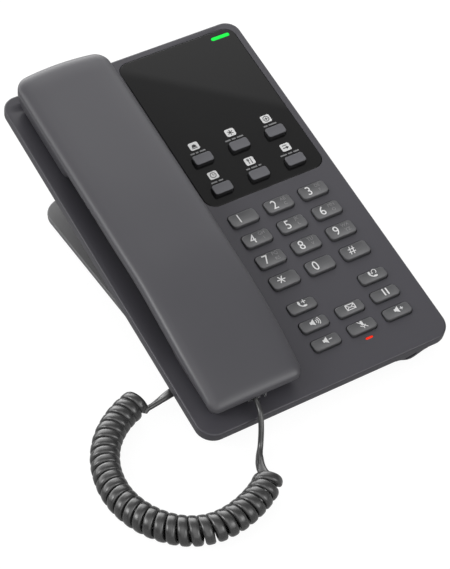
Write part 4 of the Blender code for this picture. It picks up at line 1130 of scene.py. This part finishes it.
def dress_frame_nodes():
    """Every CAD node that stays in view gets its material and slightly rounded edges."""
    for name, node in frame["nodes"].items():
        if node.hide_render:
            continue
        slot = node.material_slots[0].material.name.split(".")[0]
        node.material_slots[0].material = MATERIALS[slot]
        weld = node.modifiers.new("weld", "WELD")
        weld.merge_threshold = 0.000002
        bevel = add_bevel(node, (0.5 if name == "bottom_case" else 0.2) * MM, 3, 40)
        bevel.harden_normals = True


# Floor, light and camera

def make_floor():
    """A pale floor that glows evenly, with only a trace of a shadow; from below it is clear."""
    bm = bmesh.new()
    bmesh.ops.create_grid(bm, x_segments=4, y_segments=4, size=3000.0)
    floor = make_object("floor", bm, Matrix.Translation((0, 0, -0.0003)) @ Matrix.Scale(MM, 4))
    material = bpy.data.materials.new("pale_floor")
    material.use_nodes = True
    tree = material.node_tree
    tree.nodes.clear()
    level = add_node(tree, "MapRange", Value=add_node(tree, "LightPath").outputs["Is Camera Ray"],
                     To_Min=FLOOR_BOUNCE, To_Max=FLOOR_GLOW)
    glow = add_node(tree, "Emission", Color=WHITE, Strength=level.outputs["Result"])
    paper = add_node(tree, "BsdfDiffuse", Color=(FLOOR_PAPER, FLOOR_PAPER, FLOOR_PAPER, 1.0))
    upper = add_node(tree, "AddShader", glow.outputs["Emission"], paper.outputs["BSDF"])
    clear = add_node(tree, "BsdfTransparent")
    sides = add_node(tree, "MixShader", add_node(tree, "NewGeometry").outputs["Backfacing"],
                     upper.outputs["Shader"], clear.outputs["BSDF"])
    add_node(tree, "OutputMaterial", Surface=sides.outputs["Shader"])
    floor.data.materials.append(material)


def make_sky():
    """A studio dome: white for the camera; soft lights and a flag that shades reflections for the object."""
    world = bpy.data.worlds.new("studio")
    bpy.context.scene.world = world
    world.use_nodes = True
    tree = world.node_tree
    tree.nodes.clear()
    place, ray = add_node(tree, "TexCoord").outputs["Generated"], add_node(tree, "LightPath").outputs

    def calculate(operation, *values):
        node = add_node(tree, "Math", *values)
        node.operation = operation
        return node.outputs["Value"]

    def lobe(direction, focus):
        """1 towards the direction, falling off evenly around it; a higher focus falls faster."""
        cosine = add_node(tree, "VectorMath", place, direction)
        cosine.operation = "DOT_PRODUCT"
        away = calculate("SUBTRACT", cosine.outputs["Value"], 1.0)
        return calculate("EXPONENT", calculate("MULTIPLY", away, focus))

    total = 0.0
    for azimuth, elevation, strength, focus in SKY_LIGHTS:
        azimuth, elevation = math.radians(azimuth), math.radians(elevation)
        direction = Vector((math.cos(elevation) * math.sin(azimuth), math.cos(elevation) * math.cos(azimuth),
                            math.sin(elevation)))
        total = calculate("ADD", total, calculate("MULTIPLY", lobe(direction, focus), strength))
    across = add_node(tree, "VectorMath", place, FLAG_EDGE)
    across.operation = "DOT_PRODUCT"
    flag = add_node(tree, "MapRange", Value=across.outputs["Value"], From_Min=-0.002, From_Max=0.002,
                    To_Min=FLAG_SHADE, To_Max=0.0)
    near = calculate("MULTIPLY", flag.outputs["Result"], lobe(FLAG_PLACE, FLAG_FOCUS))
    shade = calculate("SUBTRACT", 1.0, calculate("MULTIPLY", near, ray["Is Glossy Ray"]))
    studio = add_node(tree, "Background", Color=WHITE, Strength=calculate("MULTIPLY", total, shade))
    white = add_node(tree, "Background", Color=WHITE)
    mix = add_node(tree, "MixShader", ray["Is Camera Ray"], studio.outputs["Background"],
                   white.outputs["Background"])
    add_node(tree, "OutputWorld", Surface=mix.outputs["Shader"])


def make_camera():
    camera = bpy.data.objects.new("camera", bpy.data.cameras.new("camera"))
    camera.data.lens = 114.9
    camera.data.sensor_width = 36.0
    camera.location = (-0.3147, -0.4699, 0.6486)
    camera.rotation_euler = (math.radians(43.79), 0.0, math.radians(-29.78))
    bpy.context.scene.collection.objects.link(camera)
    bpy.context.scene.camera = camera
    bpy.context.scene.view_settings.view_transform = "Standard"


# Assembly

make_case()
make_panel()
make_lights()
for key in KEYS:
    make_key(key)
make_key_prints()
make_panel_prints()
make_handset()
make_stand()
make_cord()
dress_frame_nodes()
make_floor()
make_sky()
make_camera()
